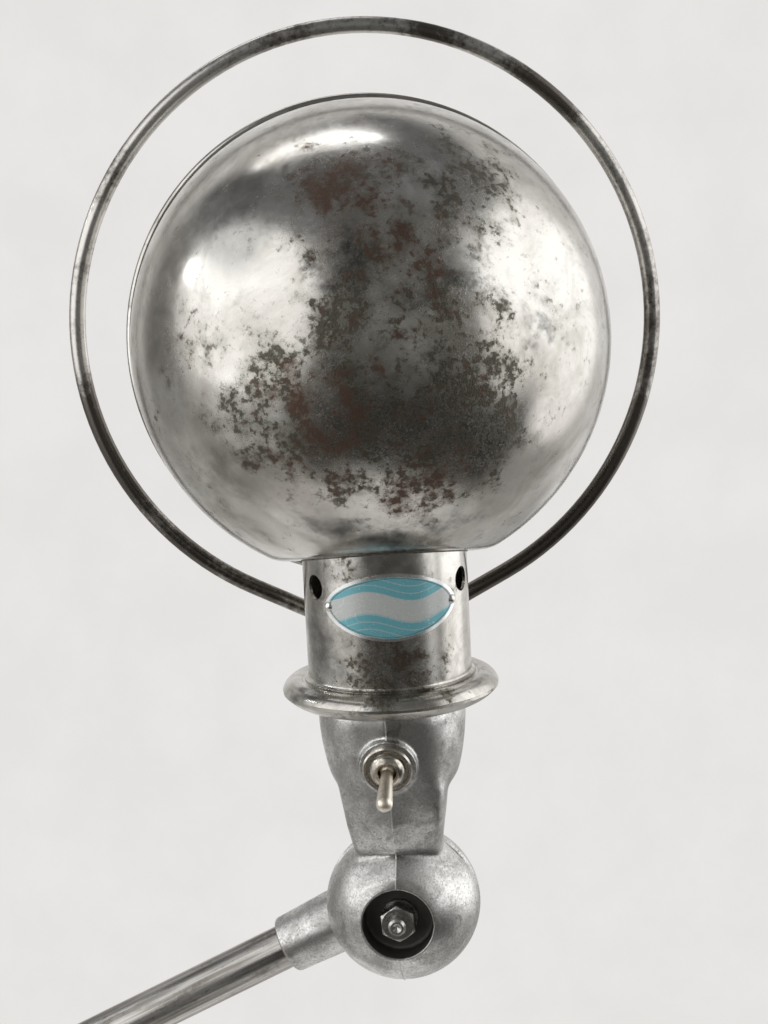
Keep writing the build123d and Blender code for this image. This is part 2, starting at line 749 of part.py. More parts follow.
def switch_frame():
    """Frame on the boss's face with z out along the switch's axis and x to the right."""
    ridge = ThreePointArc(neck_point(*ridge_top), neck_point(*ridge_middle), neck_point(*ridge_foot))
    share = (ridge_top[1] - switch_height) / (ridge_top[1] - ridge_foot[1])
    at = ridge @ share
    return Pos(0, at.Y - switch_boss, switch_height) * Rot(90 + switch_tilt, 0, 0)


def switch_bushing():
    """Plated bushing with a domed nose that the lever stands in."""
    nose, back = bushing_proud, -bushing_depth
    bore = lever_ball_radius + running_gap
    lip = lever_hole_radius + 0.9
    outline = Polyline((bore, back), (bushing_radius, back), (bushing_radius, nose - 2.4))
    outline += ThreePointArc((bushing_radius, nose - 2.4), (bushing_radius - 0.9, nose - 0.8), (lip, nose))
    outline += Polyline((lip, nose), (lever_hole_radius, nose - 0.8), (bore, nose - lever_pivot_depth + 0.5))
    outline += Line((bore, nose - lever_pivot_depth + 0.5), (bore, back))
    return turned(outline)


def switch_bezel():
    """Round ring nut that clamps the switch to the boss."""
    bore = bushing_radius + seat_gap
    return turned_polygon(
        (bore, seat_gap),
        (bezel_radius, seat_gap),
        (bezel_radius, bezel_height - fine_bevel),
        (bezel_radius - fine_bevel, bezel_height),
        (bezel_radius - 1.3, bezel_height),
        (bezel_radius - 1.6, bezel_height - fine_bevel),
        (bore, bezel_height - fine_bevel),
    )


def switch_body():
    """Moulded switch body behind the wall, with a pocket for the lever's tail and two tags."""
    top = -bushing_depth - seat_gap
    width, depth = switch_body_width, switch_body_depth
    body = Pos(0, 0, top) * Box(width, width, depth, align=(Align.CENTER, Align.CENTER, Align.MAX))
    body = fillet(body.edges().filter_by(Axis.Z), 1.5)
    body -= Pos(0, 0, top) * Box(*switch_pocket, align=(Align.CENTER, Align.CENTER, Align.MAX))
    for side in (-1, 1):
        body += Pos(side * switch_tag_pitch / 2, 0, top - depth - switch_tag[2] / 2 + 0.5) * Box(*switch_tag)
    return body


def lever_direction():
    """Lever's own frame at its pivot, at rest: leaning down by half the throw."""
    return switch_frame() * Pos(0, 0, bushing_proud - lever_pivot_depth) * Rot(lever_throw / 2, 0, 0)


def switch_lever():
    """Bat lever: slim at the root, thicker and rounded at the tip, with a ball and a tail inside."""
    tip = lever_length - lever_tip_radius
    tail_radius, tail = lever_tail
    outline = Polyline((0, -tail), (tail_radius, -tail), (tail_radius, -2.0), (lever_root_radius, 1.5))
    outline += Line((lever_root_radius, 1.5), (lever_tip_radius, tip))
    outline += cap_arc(lever_tip_radius, tip, lever_tip_radius)
    outline += Line((0, lever_length), (0, -tail))
    return turned(outline) + Sphere(lever_ball_radius)


def collar_seat_ring():
    """Steel ring round the spigot; its underside rounds in towards the cup."""
    inner = spigot_wall_radius + seat_gap
    low, high = cup_top + seat_gap, seat_top
    foot, edge = (cup_radius + 4.8, low), (seat_ring_radius, high - 0.9)
    outline = Polyline((inner, high), (inner, low), foot)
    outline += ThreePointArc(foot, (seat_ring_radius - 2.4, low + 1.9), edge)
    outline += Polyline(edge, (seat_ring_radius, high), (inner, high))
    return turned(outline)


def lampholder_plate():
    """Plate on the spigot that keeps the collar down and carries the lampholder."""
    low = plate_base + seat_gap - running_gap
    plate = rod(collar_radius - collar_wall - holder_plate_gap, low, holder_base)
    rim_hole = rod(plate_screw_radius + clearance_hole, low - 1, holder_base + 1)
    for hole in around(3, holder_screw_circle, rim_hole, start=plate_screw_spread):
        plate -= hole
    inner_hole = rod(holder_screw_radius + clearance_hole, low - 1, holder_base + 1)
    for hole in around(2, holder_screw_spacing, inner_hole):
        plate -= hole
    return plate - rod(holder_wire_hole, low - 1, holder_base + 1)


def holder_plate_screws():
    """Three screws from the plate into the spigot's wall."""
    screw = slotted_screw(plate_screw_radius, 5.5, 2.3, 1.5)
    return around(3, holder_screw_circle, Pos(0, 0, holder_base + seat_gap) * screw, start=plate_screw_spread)


def lampholder():
    """Porcelain body of the lampholder, stepped outside, with a well for the threaded shell."""
    low, high = holder_base + seat_gap, holder_base + holder_height
    floor = low + holder_floor
    well = shell_radius + seat_gap
    inset, foot_height, slope = holder_foot
    lip_width, lip_height = holder_lip
    body = turned_polygon(
        (0, low),
        (holder_radius - inset, low),
        (holder_radius - inset, low + foot_height),
        (holder_radius, low + foot_height + slope),
        (holder_radius, high - lip_height),
        (holder_radius - lip_width / 2, high - fine_bevel),
        (holder_radius - lip_width, high),
        (well + fine_bevel, high),
        (well, high - fine_bevel),
        (well, floor),
        (0, floor),
    )
    hole = rod(holder_screw_radius + thread_core, low - 1, floor - 0.8)
    for screw_hole in around(2, holder_screw_spacing, hole):
        body -= screw_hole
    return body


def lampholder_screws():
    """Two screws from below the plate into the porcelain."""
    screw = Rot(180, 0, 0) * slotted_screw(holder_screw_radius, 5.5, 2.6, 1.6)
    return around(2, holder_screw_spacing, Pos(0, 0, plate_base - running_gap - seat_gap) * screw)


def lampholder_shell():
    """Brass shell that takes the bulb's cap."""
    low = holder_base + holder_floor + 2 * seat_gap
    return ring(shell_radius - shell_wall, shell_radius, low, holder_base + holder_height - 3)


def lampholder_contact():
    """Centre contact: a brass strip on the porcelain floor, bent back up under the bulb."""
    floor = holder_base + holder_floor + 2 * seat_gap
    top = bulb_base - seat_gap
    strip = contact_strip
    back, front_end, tongue = 6.0, 2.0, 3.4
    outline = Polyline(
        (-back, floor),
        (front_end, floor),
        (front_end, floor + strip),
        (2 * strip - back + 0.2, floor + strip),
        (tongue - 0.8, top - strip),
        (tongue, top - strip),
        (tongue, top),
        (tongue - 1.2, top),
        (-back, floor + 1.5 * strip),
        close=True,
    )
    return extrude(make_face(Plane.XZ * outline), 2, both=True)


def bulb_cap():
    """Metal screw cap of the bulb with its insulator and contact."""
    low, high = bulb_base, bulb_base + bulb_cap_length
    return turned_polygon(
        (0, low),
        (4.6, low),
        (5.2, low + 0.8),
        (9.5, low + 2.2),
        (bulb_cap_radius, low + 4.6),
        (bulb_cap_radius, high),
        (0, high),
    )


def bulb_outline(skin):
    """Half section of the bulb's glass, drawn in by a skin: round head, taper, neck."""
    head, neck = bulb_radius - skin, bulb_neck_radius - skin
    centre = bulb_base + bulb_length - bulb_radius
    start = bulb_base + bulb_cap_length + seat_gap + skin
    top = (0, centre + head)
    sine, cosine = sin(radians(bulb_shoulder)), cos(radians(bulb_shoulder))
    join = (head * cosine, centre - head * sine)
    curve = ThreePointArc(top, (head * cos(radians(25)), centre + head * sin(radians(25))), join)
    taper = Spline(join, (neck, start + 3), tangents=((-sine, -cosine), (0, -1)))
    return make_face(Plane.XZ * (curve + taper + Polyline((neck, start + 3), (neck, start), (0, start), top)))


def bulb_envelope():
    """Opal glass of the bulb: a thin shell with a round head that narrows to the cap."""
    return revolve(bulb_outline(0), Axis.Z) - revolve(bulb_outline(bulb_glass), Axis.Z)


# ---------------------------------------------------------------- head
def reflector_frame():
    """Frame at the dome's centre with z out through its mouth."""
    return Pos(0, reflector_setback, reflector_height) * Rot(-90, 0, 0)


def dome_outline(radius, depth):
    """Closed outline of a dome that runs straight from its equator to its mouth."""
    middle = polar(radius, -45)
    outline = ThreePointArc((0, -radius), (middle.X, middle.Z), (radius, 0))
    return outline + Polyline((radius, 0), (radius, depth), (0, depth), (0, -radius))


def dome_blank(radius, depth, flat):
    """Solid dome up to its mouth, with the flat that the collar meets and a soft edge round it."""
    dome = reflector_frame() * turned(dome_outline(radius, depth))
    below = Box(3 * radius, 3 * radius, radius, align=(Align.CENTER, Align.CENTER, Align.MAX))
    dome -= Pos(0, reflector_setback, reflector_height) * Rot(-flat_tilt, 0, 0) * Pos(0, 0, -flat) * below
    edge = dome.edges().filter_by(GeomType.CIRCLE).sort_by(Axis.Z)[0]
    return fillet(edge, seat_blend)


def reflector():
    """Spun steel dome with a wired rim, a flat for the collar and the hole for the lampholder."""
    inner_radius = reflector_radius - reflector_wall
    shell = dome_blank(reflector_radius, rim_depth, seat_distance)
    shell -= dome_blank(inner_radius, rim_depth + 1, seat_distance - reflector_wall)
    wire = turned(Pos(rim_radius, rim_depth) * Circle(rim_wire))
    mouth = rod(inner_radius, rim_depth - 2 * rim_wire, rim_depth + 2 * rim_wire)
    shell += reflector_frame() * (wire - mouth)
    return shell - rod(lamp_hole_radius, seat_top, reflector_height)


def reflector_envelope():
    """Everything the collar's top edge is cut back to: the dome, its rim and the space ahead."""
    body = dome_blank(reflector_radius + seat_gap, rim_depth + 1, seat_distance + seat_gap)
    rim_outer = rim_radius + rim_wire + seat_gap
    ahead = rod(rim_outer, rim_depth - rim_wire - seat_gap, rim_depth + 30)
    return body + reflector_frame() * ahead


def collar_outline():
    """Half section of the collar: wall, ledge, solid bead at the foot and inward lip."""
    low = seat_top + running_gap
    inner = collar_radius - collar_wall
    top = flat_height + collar_radius / 2
    ledge = seat_top + ledge_height
    wall_foot, ledge_edge = (collar_radius, ledge + 0.9), (ledge_radius, ledge)
    groove = (ledge_radius + 0.8, ledge - 1.0)
    crest, bead_side = (bead_crest_radius, seat_top + bead_top), (bead_radius, low + 0.1)
    bead_middle = (
        bead_crest_radius + 0.74 * (bead_radius - bead_crest_radius),
        bead_side[1] + 0.74 * (crest[1] - bead_side[1]),
    )
    outline = Polyline((inner, top), (collar_radius, top), wall_foot)
    outline += ThreePointArc(wall_foot, (collar_radius + 0.35, ledge + 0.3), ledge_edge)
    outline += Polyline(ledge_edge, (ledge_radius, ledge - 0.9), groove, crest)
    outline += ThreePointArc(crest, bead_middle, bead_side)
    outline += Polyline(bead_side, (bead_radius - 0.1, low), (lip_radius, low))
    lip_top = low + lip_thickness
    return outline + Polyline((lip_radius, low), (lip_radius, lip_top), (inner, lip_top), (inner, top))


def collar():
    """Cylindrical collar with its bead and lip, cut to the dome, with vents and fixing holes."""
    body = turned(collar_outline()) - reflector_envelope()
    for side in (-1, 1):
        for angle, height, radius in (
            (vent_angle, vent_height, vent_radius),
            (rivet_angle, badge_height, rivet_shank_radius + seat_gap),
            (handle_end_angle, handle_end_height, handle_screw_radius + seat_gap),
        ):
            body -= radial(side * angle, height) * rod(radius, 0, collar_radius + 5)
    return body


def radial(angle, height):
    """Frame on the neck axis with z out at an angle from the back of the head."""
    return Pos(0, 0, height) * Rot(0, 0, angle) * Rot(90, 0, 0)


def handle_plane_point(side, x, up):
    """Point of the handle's plane, measured from the middle of the ring."""
    return Vector(side * x, handle_setback, handle_height + up)


def handle_side_point(angle):
    """Across and up from the ring's middle, on a side arc at an angle below its own level."""
    x = handle_shift * sin(radians(handle_top_half)) + handle_side_radius * cos(radians(angle))
    up = handle_shift * cos(radians(handle_top_half)) - handle_side_radius * sin(radians(angle))
    return x, up


def handle_ring():
    """Wire handle: a bent rod round the reflector, shouldered where it enters the collar."""
    top_end, side_end = handle_top_half - 90, 90 - handle_slope
    side_points = [handle_side_point(a) for a in (top_end, (top_end + side_end) / 2, side_end)]
    corner_up = handle_end_height - handle_height
    path = ThreePointArc(
        handle_plane_point(-1, *side_points[0]),
        handle_plane_point(1, 0, handle_top_radius),
        handle_plane_point(1, *side_points[0]),
    )
    for side in (-1, 1):
        path += ThreePointArc(*[handle_plane_point(side, *point) for point in side_points])
        corner = handle_plane_point(side, handle_turn_in, corner_up)
        inward = Vector(corner.X, corner.Y, 0).normalized()
        seat = inward * (collar_radius + seat_gap) + Vector(0, 0, corner.Z)
        path += FilletPolyline(handle_plane_point(side, *side_points[-1]), corner, seat, radius=handle_bend)
    wire = Wire(path.edges())
    body = sweep(Plane(wire @ 0, z_dir=wire % 0) * Circle(handle_rod), wire)
    spigot = rod(handle_screw_radius, collar_radius + 1 - handle_screw_length, collar_radius + 1)
    for side in (-1, 1):
        body += radial(side * handle_end_angle, handle_end_height) * spigot
    return body


def handle_nuts():
    """Nuts inside the collar on the handle's two ends."""
    corner = handle_nut_flats / sqrt(3)
    high = sqrt((collar_radius - collar_wall) ** 2 - corner**2) - seat_gap
    nut = hex_prism(handle_nut_flats, high - handle_nut_height, high)
    nut -= rod(handle_screw_radius + seat_gap, 0, collar_radius)
    return [radial(side * handle_end_angle, handle_end_height) * nut for side in (-1, 1)]


def badge():
    """Thin pointed-oval plate wrapped round the back of the collar, left bare."""
    steps = 6
    points = []
    for i in range(4 * steps):
        share = cos(radians(90 * i / steps))
        angle = share * badge_half_arc / collar_radius
        bulge = badge_half_height * (1 - abs(share) ** badge_fullness) ** badge_bluntness
        points.append((collar_radius * sin(angle), bulge if i < 2 * steps else -bulge))
    outline = Spline(*points, periodic=True)
    low, high = badge_height - 2 * badge_half_height, badge_height + 2 * badge_half_height
    prism = extrude(make_face(Plane.XZ * Pos(0, badge_height) * outline), 2 * collar_radius, dir=(0, -1, 0))
    plate = prism & ring(collar_radius + seat_gap, collar_radius + badge_thickness, low, high)
    hole = rod(rivet_shank_radius + seat_gap, 0, collar_radius + 5)
    for side in (-1, 1):
        plate -= radial(side * rivet_angle, badge_height) * hole
    return plate


def badge_rivets():
    """Two round-headed rivets through the badge and the collar."""
    seat = collar_radius + badge_thickness + seat_gap
    tail = collar_radius - collar_wall - rivet_head
    outline = Polyline((0, seat + rivet_head), (0, tail), (rivet_shank_radius, tail))
    outline += Polyline((rivet_shank_radius, tail), (rivet_shank_radius, seat), (rivet_radius, seat))
    outline += cap_arc(rivet_radius, seat, rivet_head)
    rivet = turned(outline)
    return [radial(side * rivet_angle, badge_height) * rivet for side in (-1, 1)]


# ---------------------------------------------------------------- assembly
def placed(frame, shapes):
    """Shapes moved into a frame, as a list."""
    return [frame * shape for shape in (shapes if isinstance(shapes, list) else [shapes])]


def assembly():
    """Every node's name with its solids in the lamp's frame."""
    nodes = {
        "base_casting": base_casting(),
        "base_pad": base_pad(),
        "base_bottom_plate": base_bottom_plate(),
        "base_plate_screws": base_plate_screws(),
        "cable_grommet": cable_grommet(),
        "terminal_block": terminal_block(),
        "swivel_thrust_washer": thrust_washer_ring(),
        "swivel_stop_screw": stop_screw(),
        "stem_casting": stem_casting(),
        "swivel_spring_washer": swivel_spring_washer(),
        "swivel_nut": swivel_nut(),
    }
    lower_end = arm_frame(elbow, lower_arm_angle + 180)
    upper_end = arm_frame(wrist, upper_arm_angle + 180)
    for name, frame, side in (
        ("lower_arm_bottom_socket", lower_frame, front),
        ("lower_arm_top_socket", lower_end, front),
        ("upper_arm_bottom_socket", upper_frame, rear),
        ("upper_arm_top_socket", upper_end, rear),
    ):
        nodes[name] = frame * side * arm_socket()
    for name, frame, side in (("lower_arm", lower_frame, front), ("upper_arm", upper_frame, rear)):
        nodes[name + "_tube"] = frame * side * arm_tube()
        nodes[name + "_lead"] = frame * side * arm_lead()
    # each joint's contact disc and bolt go with its rear half, and its brushes with its front half
    rear_frames = {
        "shoulder": Pos(shoulder.X, shoulder.Y, shoulder.Z) * Rot(0, 90, 0) * rear,
        "elbow": upper_frame * rear,
        "head": upper_end * rear,
    }
    front_frames = {"shoulder": lower_frame * front, "elbow": lower_end * front, "head": neck_frame * front}
    for joint, frame in rear_frames.items():
        nodes[joint + "_contact_disc"] = frame * contact_disc()
        nodes[joint + "_contact_tracks"] = placed(frame, contact_tracks())
        nodes[joint + "_bolt"] = frame * joint_bolt()
        across = frame * Rot(180, 0, 0)
        nodes[joint + "_nut"] = across * joint_nut()
        nodes[joint + "_washers"] = placed(across, joint_washers())
    for joint, frame in front_frames.items():
        nodes[joint + "_brush_disc"] = frame * contact_disc()
        nodes[joint + "_brushes"] = placed(frame, contact_brushes())
    axis = neck_frame * Pos(0, -collar_offset, 0)
    nodes["neck_casting"] = neck_frame * neck_casting()
    switch = neck_frame * switch_frame()
    nodes["switch_body"] = switch * switch_body()
    nodes["switch_bushing"] = switch * switch_bushing()
    nodes["switch_bezel"] = switch * switch_bezel()
    nodes["switch_lever"] = neck_frame * lever_direction() * switch_lever()
    nodes["collar_seat_ring"] = axis * collar_seat_ring()
    nodes["lampholder_plate"] = axis * lampholder_plate()
    nodes["lampholder_plate_screws"] = placed(axis, holder_plate_screws())
    nodes["lampholder"] = axis * lampholder()
    nodes["lampholder_screws"] = placed(axis, lampholder_screws())
    nodes["lampholder_shell"] = axis * lampholder_shell()
    nodes["lampholder_contact"] = axis * lampholder_contact()
    nodes["bulb_cap"] = axis * bulb_cap()
    nodes["bulb_glass"] = axis * bulb_envelope()
    nodes["collar"] = head_frame * collar()
    nodes["reflector"] = head_frame * reflector()
    nodes["handle_ring"] = head_frame * handle_ring()
    nodes["handle_nuts"] = placed(head_frame, handle_nuts())
    nodes["badge"] = head_frame * badge()
    nodes["badge_rivets"] = placed(head_frame, badge_rivets())
    return nodes


def main():
    """Write one STEP file per node."""
    os.makedirs("parts", exist_ok=True)
    for name, shapes in assembly().items():
        solids = [s for shape in (shapes if isinstance(shapes, list) else [shapes]) for s in shape.solids()]
        whole = solids[0] if len(solids) == 1 else Compound(children=solids)
        whole.label = name
        export_step(whole, f"parts/{name}.step")


main()
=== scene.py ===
"""Dresses the two-arm desk lamp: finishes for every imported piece, its cast and soldered seams, the studio."""

import json
import logging
import math
from dataclasses import dataclass, field
from enum import Enum

import bmesh
import bpy
import numpy as np
from mathutils import Matrix, Quaternion, Vector

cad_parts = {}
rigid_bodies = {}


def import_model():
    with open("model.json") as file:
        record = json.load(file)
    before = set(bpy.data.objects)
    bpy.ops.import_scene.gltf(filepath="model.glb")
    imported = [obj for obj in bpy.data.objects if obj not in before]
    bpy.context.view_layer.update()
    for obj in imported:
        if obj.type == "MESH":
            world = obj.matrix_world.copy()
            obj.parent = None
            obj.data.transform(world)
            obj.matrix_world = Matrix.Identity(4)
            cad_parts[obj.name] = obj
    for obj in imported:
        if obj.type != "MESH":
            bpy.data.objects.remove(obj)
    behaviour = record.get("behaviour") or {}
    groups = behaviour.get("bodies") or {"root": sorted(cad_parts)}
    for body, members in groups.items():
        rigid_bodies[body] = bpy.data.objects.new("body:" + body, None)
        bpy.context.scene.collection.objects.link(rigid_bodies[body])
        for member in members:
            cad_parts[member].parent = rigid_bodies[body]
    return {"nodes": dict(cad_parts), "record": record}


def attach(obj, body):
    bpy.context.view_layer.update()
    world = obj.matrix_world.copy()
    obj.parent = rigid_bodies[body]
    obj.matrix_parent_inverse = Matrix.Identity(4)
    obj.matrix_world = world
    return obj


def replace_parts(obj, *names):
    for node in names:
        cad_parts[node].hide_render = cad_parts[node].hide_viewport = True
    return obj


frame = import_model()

log = logging.getLogger("lamp")

MM = 0.001
NOISE_MIDDLE = 0.5
NOISE_SPREAD = 10.0
Rgb = tuple[float, float, float]
Socket = bpy.types.NodeSocket
# A noise's size in millimetres, detail, roughness and warp; the size is left out where it has its own field.
Grain = tuple[float, ...]
# Where a smooth step starts and ends, and what it gives there if not 0 and 1.
Band = tuple[float, ...]
Pair = tuple[float, float]


def direction(azimuth: float, elevation: float) -> Vector:
    """Unit vector from the dome out into the set.

    Args:
        azimuth: Degrees from the front, round to the right.
        elevation: Degrees over the horizon.

    Returns:
        The vector.
    """
    a, e = math.radians(azimuth), math.radians(elevation)
    return Vector((math.sin(a) * math.cos(e), -math.cos(a) * math.cos(e), math.sin(e)))


# ---------------------------------------------------------------- places in the lamp
@dataclass(frozen=True)
class Place:
    """A right-handed frame of the lamp, with its origin in metres and its axes as unit vectors."""

    origin: Vector
    x: Vector
    y: Vector
    z: Vector

    def matrix(self) -> Matrix:
        """Matrix that takes the place's metres to the row frame."""
        turn = Matrix((self.x, self.y, self.z)).transposed().to_4x4()
        return Matrix.Translation(self.origin) @ turn

    def at(self, x: float, y: float, z: float) -> Vector:
        """Point of the row frame, in metres, for millimetres in this place."""
        return self.origin + (self.x * x + self.y * y + self.z * z) * MM

    def moved(self, x: float, y: float, z: float) -> "Place":
        """The same frame with its origin shifted by millimetres along its own axes."""
        return Place(self.at(x, y, z), self.x, self.y, self.z)

    def turned(self, degrees: float) -> "Place":
        """The same frame turned about its own z axis.

        Args:
            degrees: Angle, anticlockwise seen from +z.

        Returns:
            The turned place.
        """
        c, s = math.cos(math.radians(degrees)), math.sin(math.radians(degrees))
        return Place(self.origin, self.x * c + self.y * s, self.y * c - self.x * s, self.z)


def joint(name: str) -> dict:
    """The record's entry for one joint."""
    return next(j for j in frame["record"]["behaviour"]["joints"] if j["name"] == name)


@dataclass(frozen=True)
class Layout:
    """Places that several sub-assemblies share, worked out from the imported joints."""

    head_turn: float = 9.2
    collar_offset: float = 6.0
    socket_offset: float = 14.15

    def ball(self, name: str) -> Vector:
        """Centre of the ball joint with that joint name."""
        return Vector(joint(name)["pos_m"])

    def neck(self) -> Place:
        """Place at the head ball: x across, y to the back of the joint plane, z up the neck.

        Returns:
            The place.
        """
        z = Vector(joint("head_turn")["axis"]).normalized()
        x = -Vector(joint("switch")["axis"]).normalized()
        return Place(self.ball("head_tilt"), x, z.cross(x), z)

    def head(self) -> Place:
        """Place of the collar: on its axis, turned with the head."""
        return self.neck().moved(0, -self.collar_offset, 0).turned(self.head_turn)

    def arm(self, start: str, end: str, side: float) -> Place:
        """Place on an arm tube's axis, with z along the tube.

        Args:
            start: Joint whose ball the tube starts at.
            end: Joint whose ball it ends at.
            side: +1 where the tube is behind the joint plane, -1 in front.

        Returns:
            The place, with its origin beside the start ball.
        """
        a, b = self.ball(start), self.ball(end)
        z = (b - a).normalized()
        y = Vector((0, 1, 0))
        return Place(a + y * side * self.socket_offset * MM, y.cross(z), y, z)


# ---------------------------------------------------------------- node trees
class Graph:
    """One material's node tree, or the world's, with short methods for the nodes that the finishes use."""

    def __init__(self, name: str, world: bpy.types.World | None = None) -> None:
        """Empties a node tree to build in.

        Args:
            name: Name of the new material, where no world is given.
            world: World whose tree is built instead.
        """
        self.owner = world or bpy.data.materials.new(name)
        self.owner.use_nodes = True
        self.tree = self.owner.node_tree
        self.tree.nodes.clear()

    def node(self, kind: str, inputs: dict | None = None, **settings: object) -> bpy.types.Node:
        """Adds a node.

        Args:
            kind: Blender's name for the node type.
            inputs: Value or socket for each input, by name or index.
            **settings: Attributes of the node.

        Returns:
            The new node.
        """
        made = self.tree.nodes.new(kind)
        for key, value in settings.items():
            setattr(made, key, value)
        for key, value in (inputs or {}).items():
            if isinstance(value, Socket):
                self.tree.links.new(value, made.inputs[key])
            else:
                whole = (*value, 1.0) if self.is_rgb(made.inputs[key], value) else value
                made.inputs[key].default_value = whole
        return made

    @staticmethod
    def is_rgb(socket: Socket, value: object) -> bool:
        """True where a three-number colour goes into a colour socket."""
        return socket.type == "RGBA" and isinstance(value, tuple) and len(value) == 3

    def math(self, operation: str, *values: object) -> Socket:
        """Result of one Math node."""
        return self.node("ShaderNodeMath", dict(enumerate(values)), operation=operation).outputs[0]

    def times(self, a: object, b: object) -> Socket:
        """Product of two numbers."""
        return self.math("MULTIPLY", a, b)

    def plus(self, a: object, b: object) -> Socket:
        """Sum of two numbers."""
        return self.math("ADD", a, b)

    def most(self, a: object, b: object) -> Socket:
        """The larger of two numbers."""
        return self.math("MAXIMUM", a, b)

    def size(self, value: object) -> Socket:
        """A number without its sign."""
        return self.math("ABSOLUTE", value)

    def inverse(self, value: object) -> Socket:
        """1 less a number."""
        return self.math("SUBTRACT", 1.0, value)

    def weigh(self, a: object, b: object, shares: Pair) -> Socket:
        """Sum of two numbers, each times its share."""
        return self.plus(self.times(a, shares[0]), self.times(b, shares[1]))

    def vector(self, operation: str, a: object, b: object = (0.0, 0.0, 0.0)) -> Socket:
        """Result of one Vector Math node: a vector, or a number where the operation gives one."""
        made = self.node("ShaderNodeVectorMath", {0: a, 1: b}, operation=operation)
        return made.outputs["Value" if operation in ("DISTANCE", "LENGTH") else "Vector"]

    def mix(self, share: object, a: object, b: object) -> Socket:
        """Colour between two colours.

        Args:
            share: 0 for the first and 1 for the second.
            a: First colour.
            b: Second colour.

        Returns:
            The mixed colour.
        """
        made = self.node("ShaderNodeMix", data_type="RGBA")
        for index, value in ((0, share), (6, a), (7, b)):
            if isinstance(value, Socket):
                self.tree.links.new(value, made.inputs[index])
            else:
                made.inputs[index].default_value = value if index == 0 else (*value, 1.0)
        return made.outputs[2]

    def blend(self, share: object, a: object, b: object) -> Socket:
        """Number between a (share 0) and b (share 1)."""
        return self.node("ShaderNodeMix", {0: share, 2: a, 3: b}, data_type="FLOAT").outputs[0]

    def step(self, value: object, low: float, high: float, start: float = 0.0, end: float = 1.0) -> Socket:
        """Smooth step from start to end as the value goes from low to high."""
        inputs = {0: value, 1: low, 2: high, 3: start, 4: end}
        return self.node("ShaderNodeMapRange", inputs, interpolation_type="SMOOTHSTEP").outputs[0]

    def local(self, place: Place, stretch: Rgb = (1.0, 1.0, 1.0)) -> Socket:
        """Rest position in a place's millimetres, which stays on the piece when it moves.

        Args:
            place: Frame to measure in.
            stretch: Each axis is divided by this, for streaks.

        Returns:
            The vector socket.
        """
        rest = self.node("ShaderNodeTexCoord").outputs["Object"]
        inputs = {
            "Vector": rest,
            "Location": place.origin,
            "Rotation": place.matrix().to_euler(),
            "Scale": Vector(stretch) * MM,
        }
        return self.node("ShaderNodeMapping", inputs, vector_type="TEXTURE").outputs[0]

    def axes(self, vector: Socket) -> tuple[Socket, Socket, Socket]:
        """The three numbers of a vector."""
        parts = self.node("ShaderNodeSeparateXYZ", {0: vector})
        return parts.outputs[0], parts.outputs[1], parts.outputs[2]

    def noise(
        self, vector: Socket, size: float, detail: float = 4.0, rough: float = 0.55, warp: float = 0.0
    ) -> Socket:
        """Fractal noise, about 0.3 to 0.7.

        Args:
            vector: Position in millimetres.
            size: Size of the largest features, in the same units.
            detail: Octaves.
            rough: Strength of each octave against the one before.
            warp: Distortion.

        Returns:
            The noise value.
        """
        inputs = {"Vector": vector, "Scale": 1.0 / size, "Detail": detail, "Roughness": rough}
        return self.node("ShaderNodeTexNoise", inputs | {"Distortion": warp}).outputs[0]

    def centred(self, value: Socket) -> Socket:
        """A noise value less its middle."""
        return self.math("SUBTRACT", value, NOISE_MIDDLE)

    def spread(self, vector: Socket, size: float, detail: float, rough: float) -> Socket:
        """Fractal noise with its middle at 0, mostly between -1.5 and 1.5; arguments as for noise."""
        return self.times(self.centred(self.noise(vector, size, detail, rough)), NOISE_SPREAD)

    def near(self, vector: Socket, point: Rgb, reach: float) -> Socket:
        """Soft spot: 1 at a point and 0 beyond its reach, in the vector's units."""
        return self.step(self.vector("DISTANCE", vector, point), 0.0, reach, 1.0, 0.0)

    def bump(
        self, height: Socket, depth: float, strength: float = 1.0, normal: Socket | None = None
    ) -> Socket:
        """Normal bent by a height.

        Args:
            height: Value of 0 to 1.
            depth: What it stands for, in millimetres.
            strength: Share of the bend that is kept.
            normal: Normal that is bent, where it isn't the surface's own.

        Returns:
            The bent normal.
        """
        inputs = {"Height": height, "Distance": depth * MM, "Strength": strength}
        if normal is not None:
            inputs["Normal"] = normal
        return self.node("ShaderNodeBump", inputs).outputs[0]

    def finish(self, **inputs: object) -> bpy.types.Material:
        """Closes the tree with a Principled shader.

        Args:
            **inputs: Socket or value for each shader input, with _ for a blank in its name.

        Returns:
            The material.
        """
        named = {key.replace("_", " "): value for key, value in inputs.items()}
        self.close(self.node("ShaderNodeBsdfPrincipled", named).outputs[0])
        return self.owner

    def layer(self, share: Socket, under: bpy.types.Node, over: bpy.types.Node) -> Socket:
        """Shader that shows one shader through another.

        Args:
            share: 0 where the first shows and 1 where the second does.
            under: First shader.
            over: Second shader.

        Returns:
            The mixed shader.
        """
        inputs = {0: share, 1: under.outputs[0], 2: over.outputs[0]}
        return self.node("ShaderNodeMixShader", inputs).outputs[0]

    def close(self, shader: Socket, kind: str = "Material") -> None:
        """Links a shader to the tree's output; kind is Material or World."""
        self.node(f"ShaderNodeOutput{kind}", {"Surface": shader})


# ---------------------------------------------------------------- finishes
@dataclass(frozen=True)
class Stain:
    """A patch of thick old patina: centre and reach in the place's millimetres, weight and redness."""

    centre: Rgb
    reach: float
    weight: float
    rust: float = 0.0


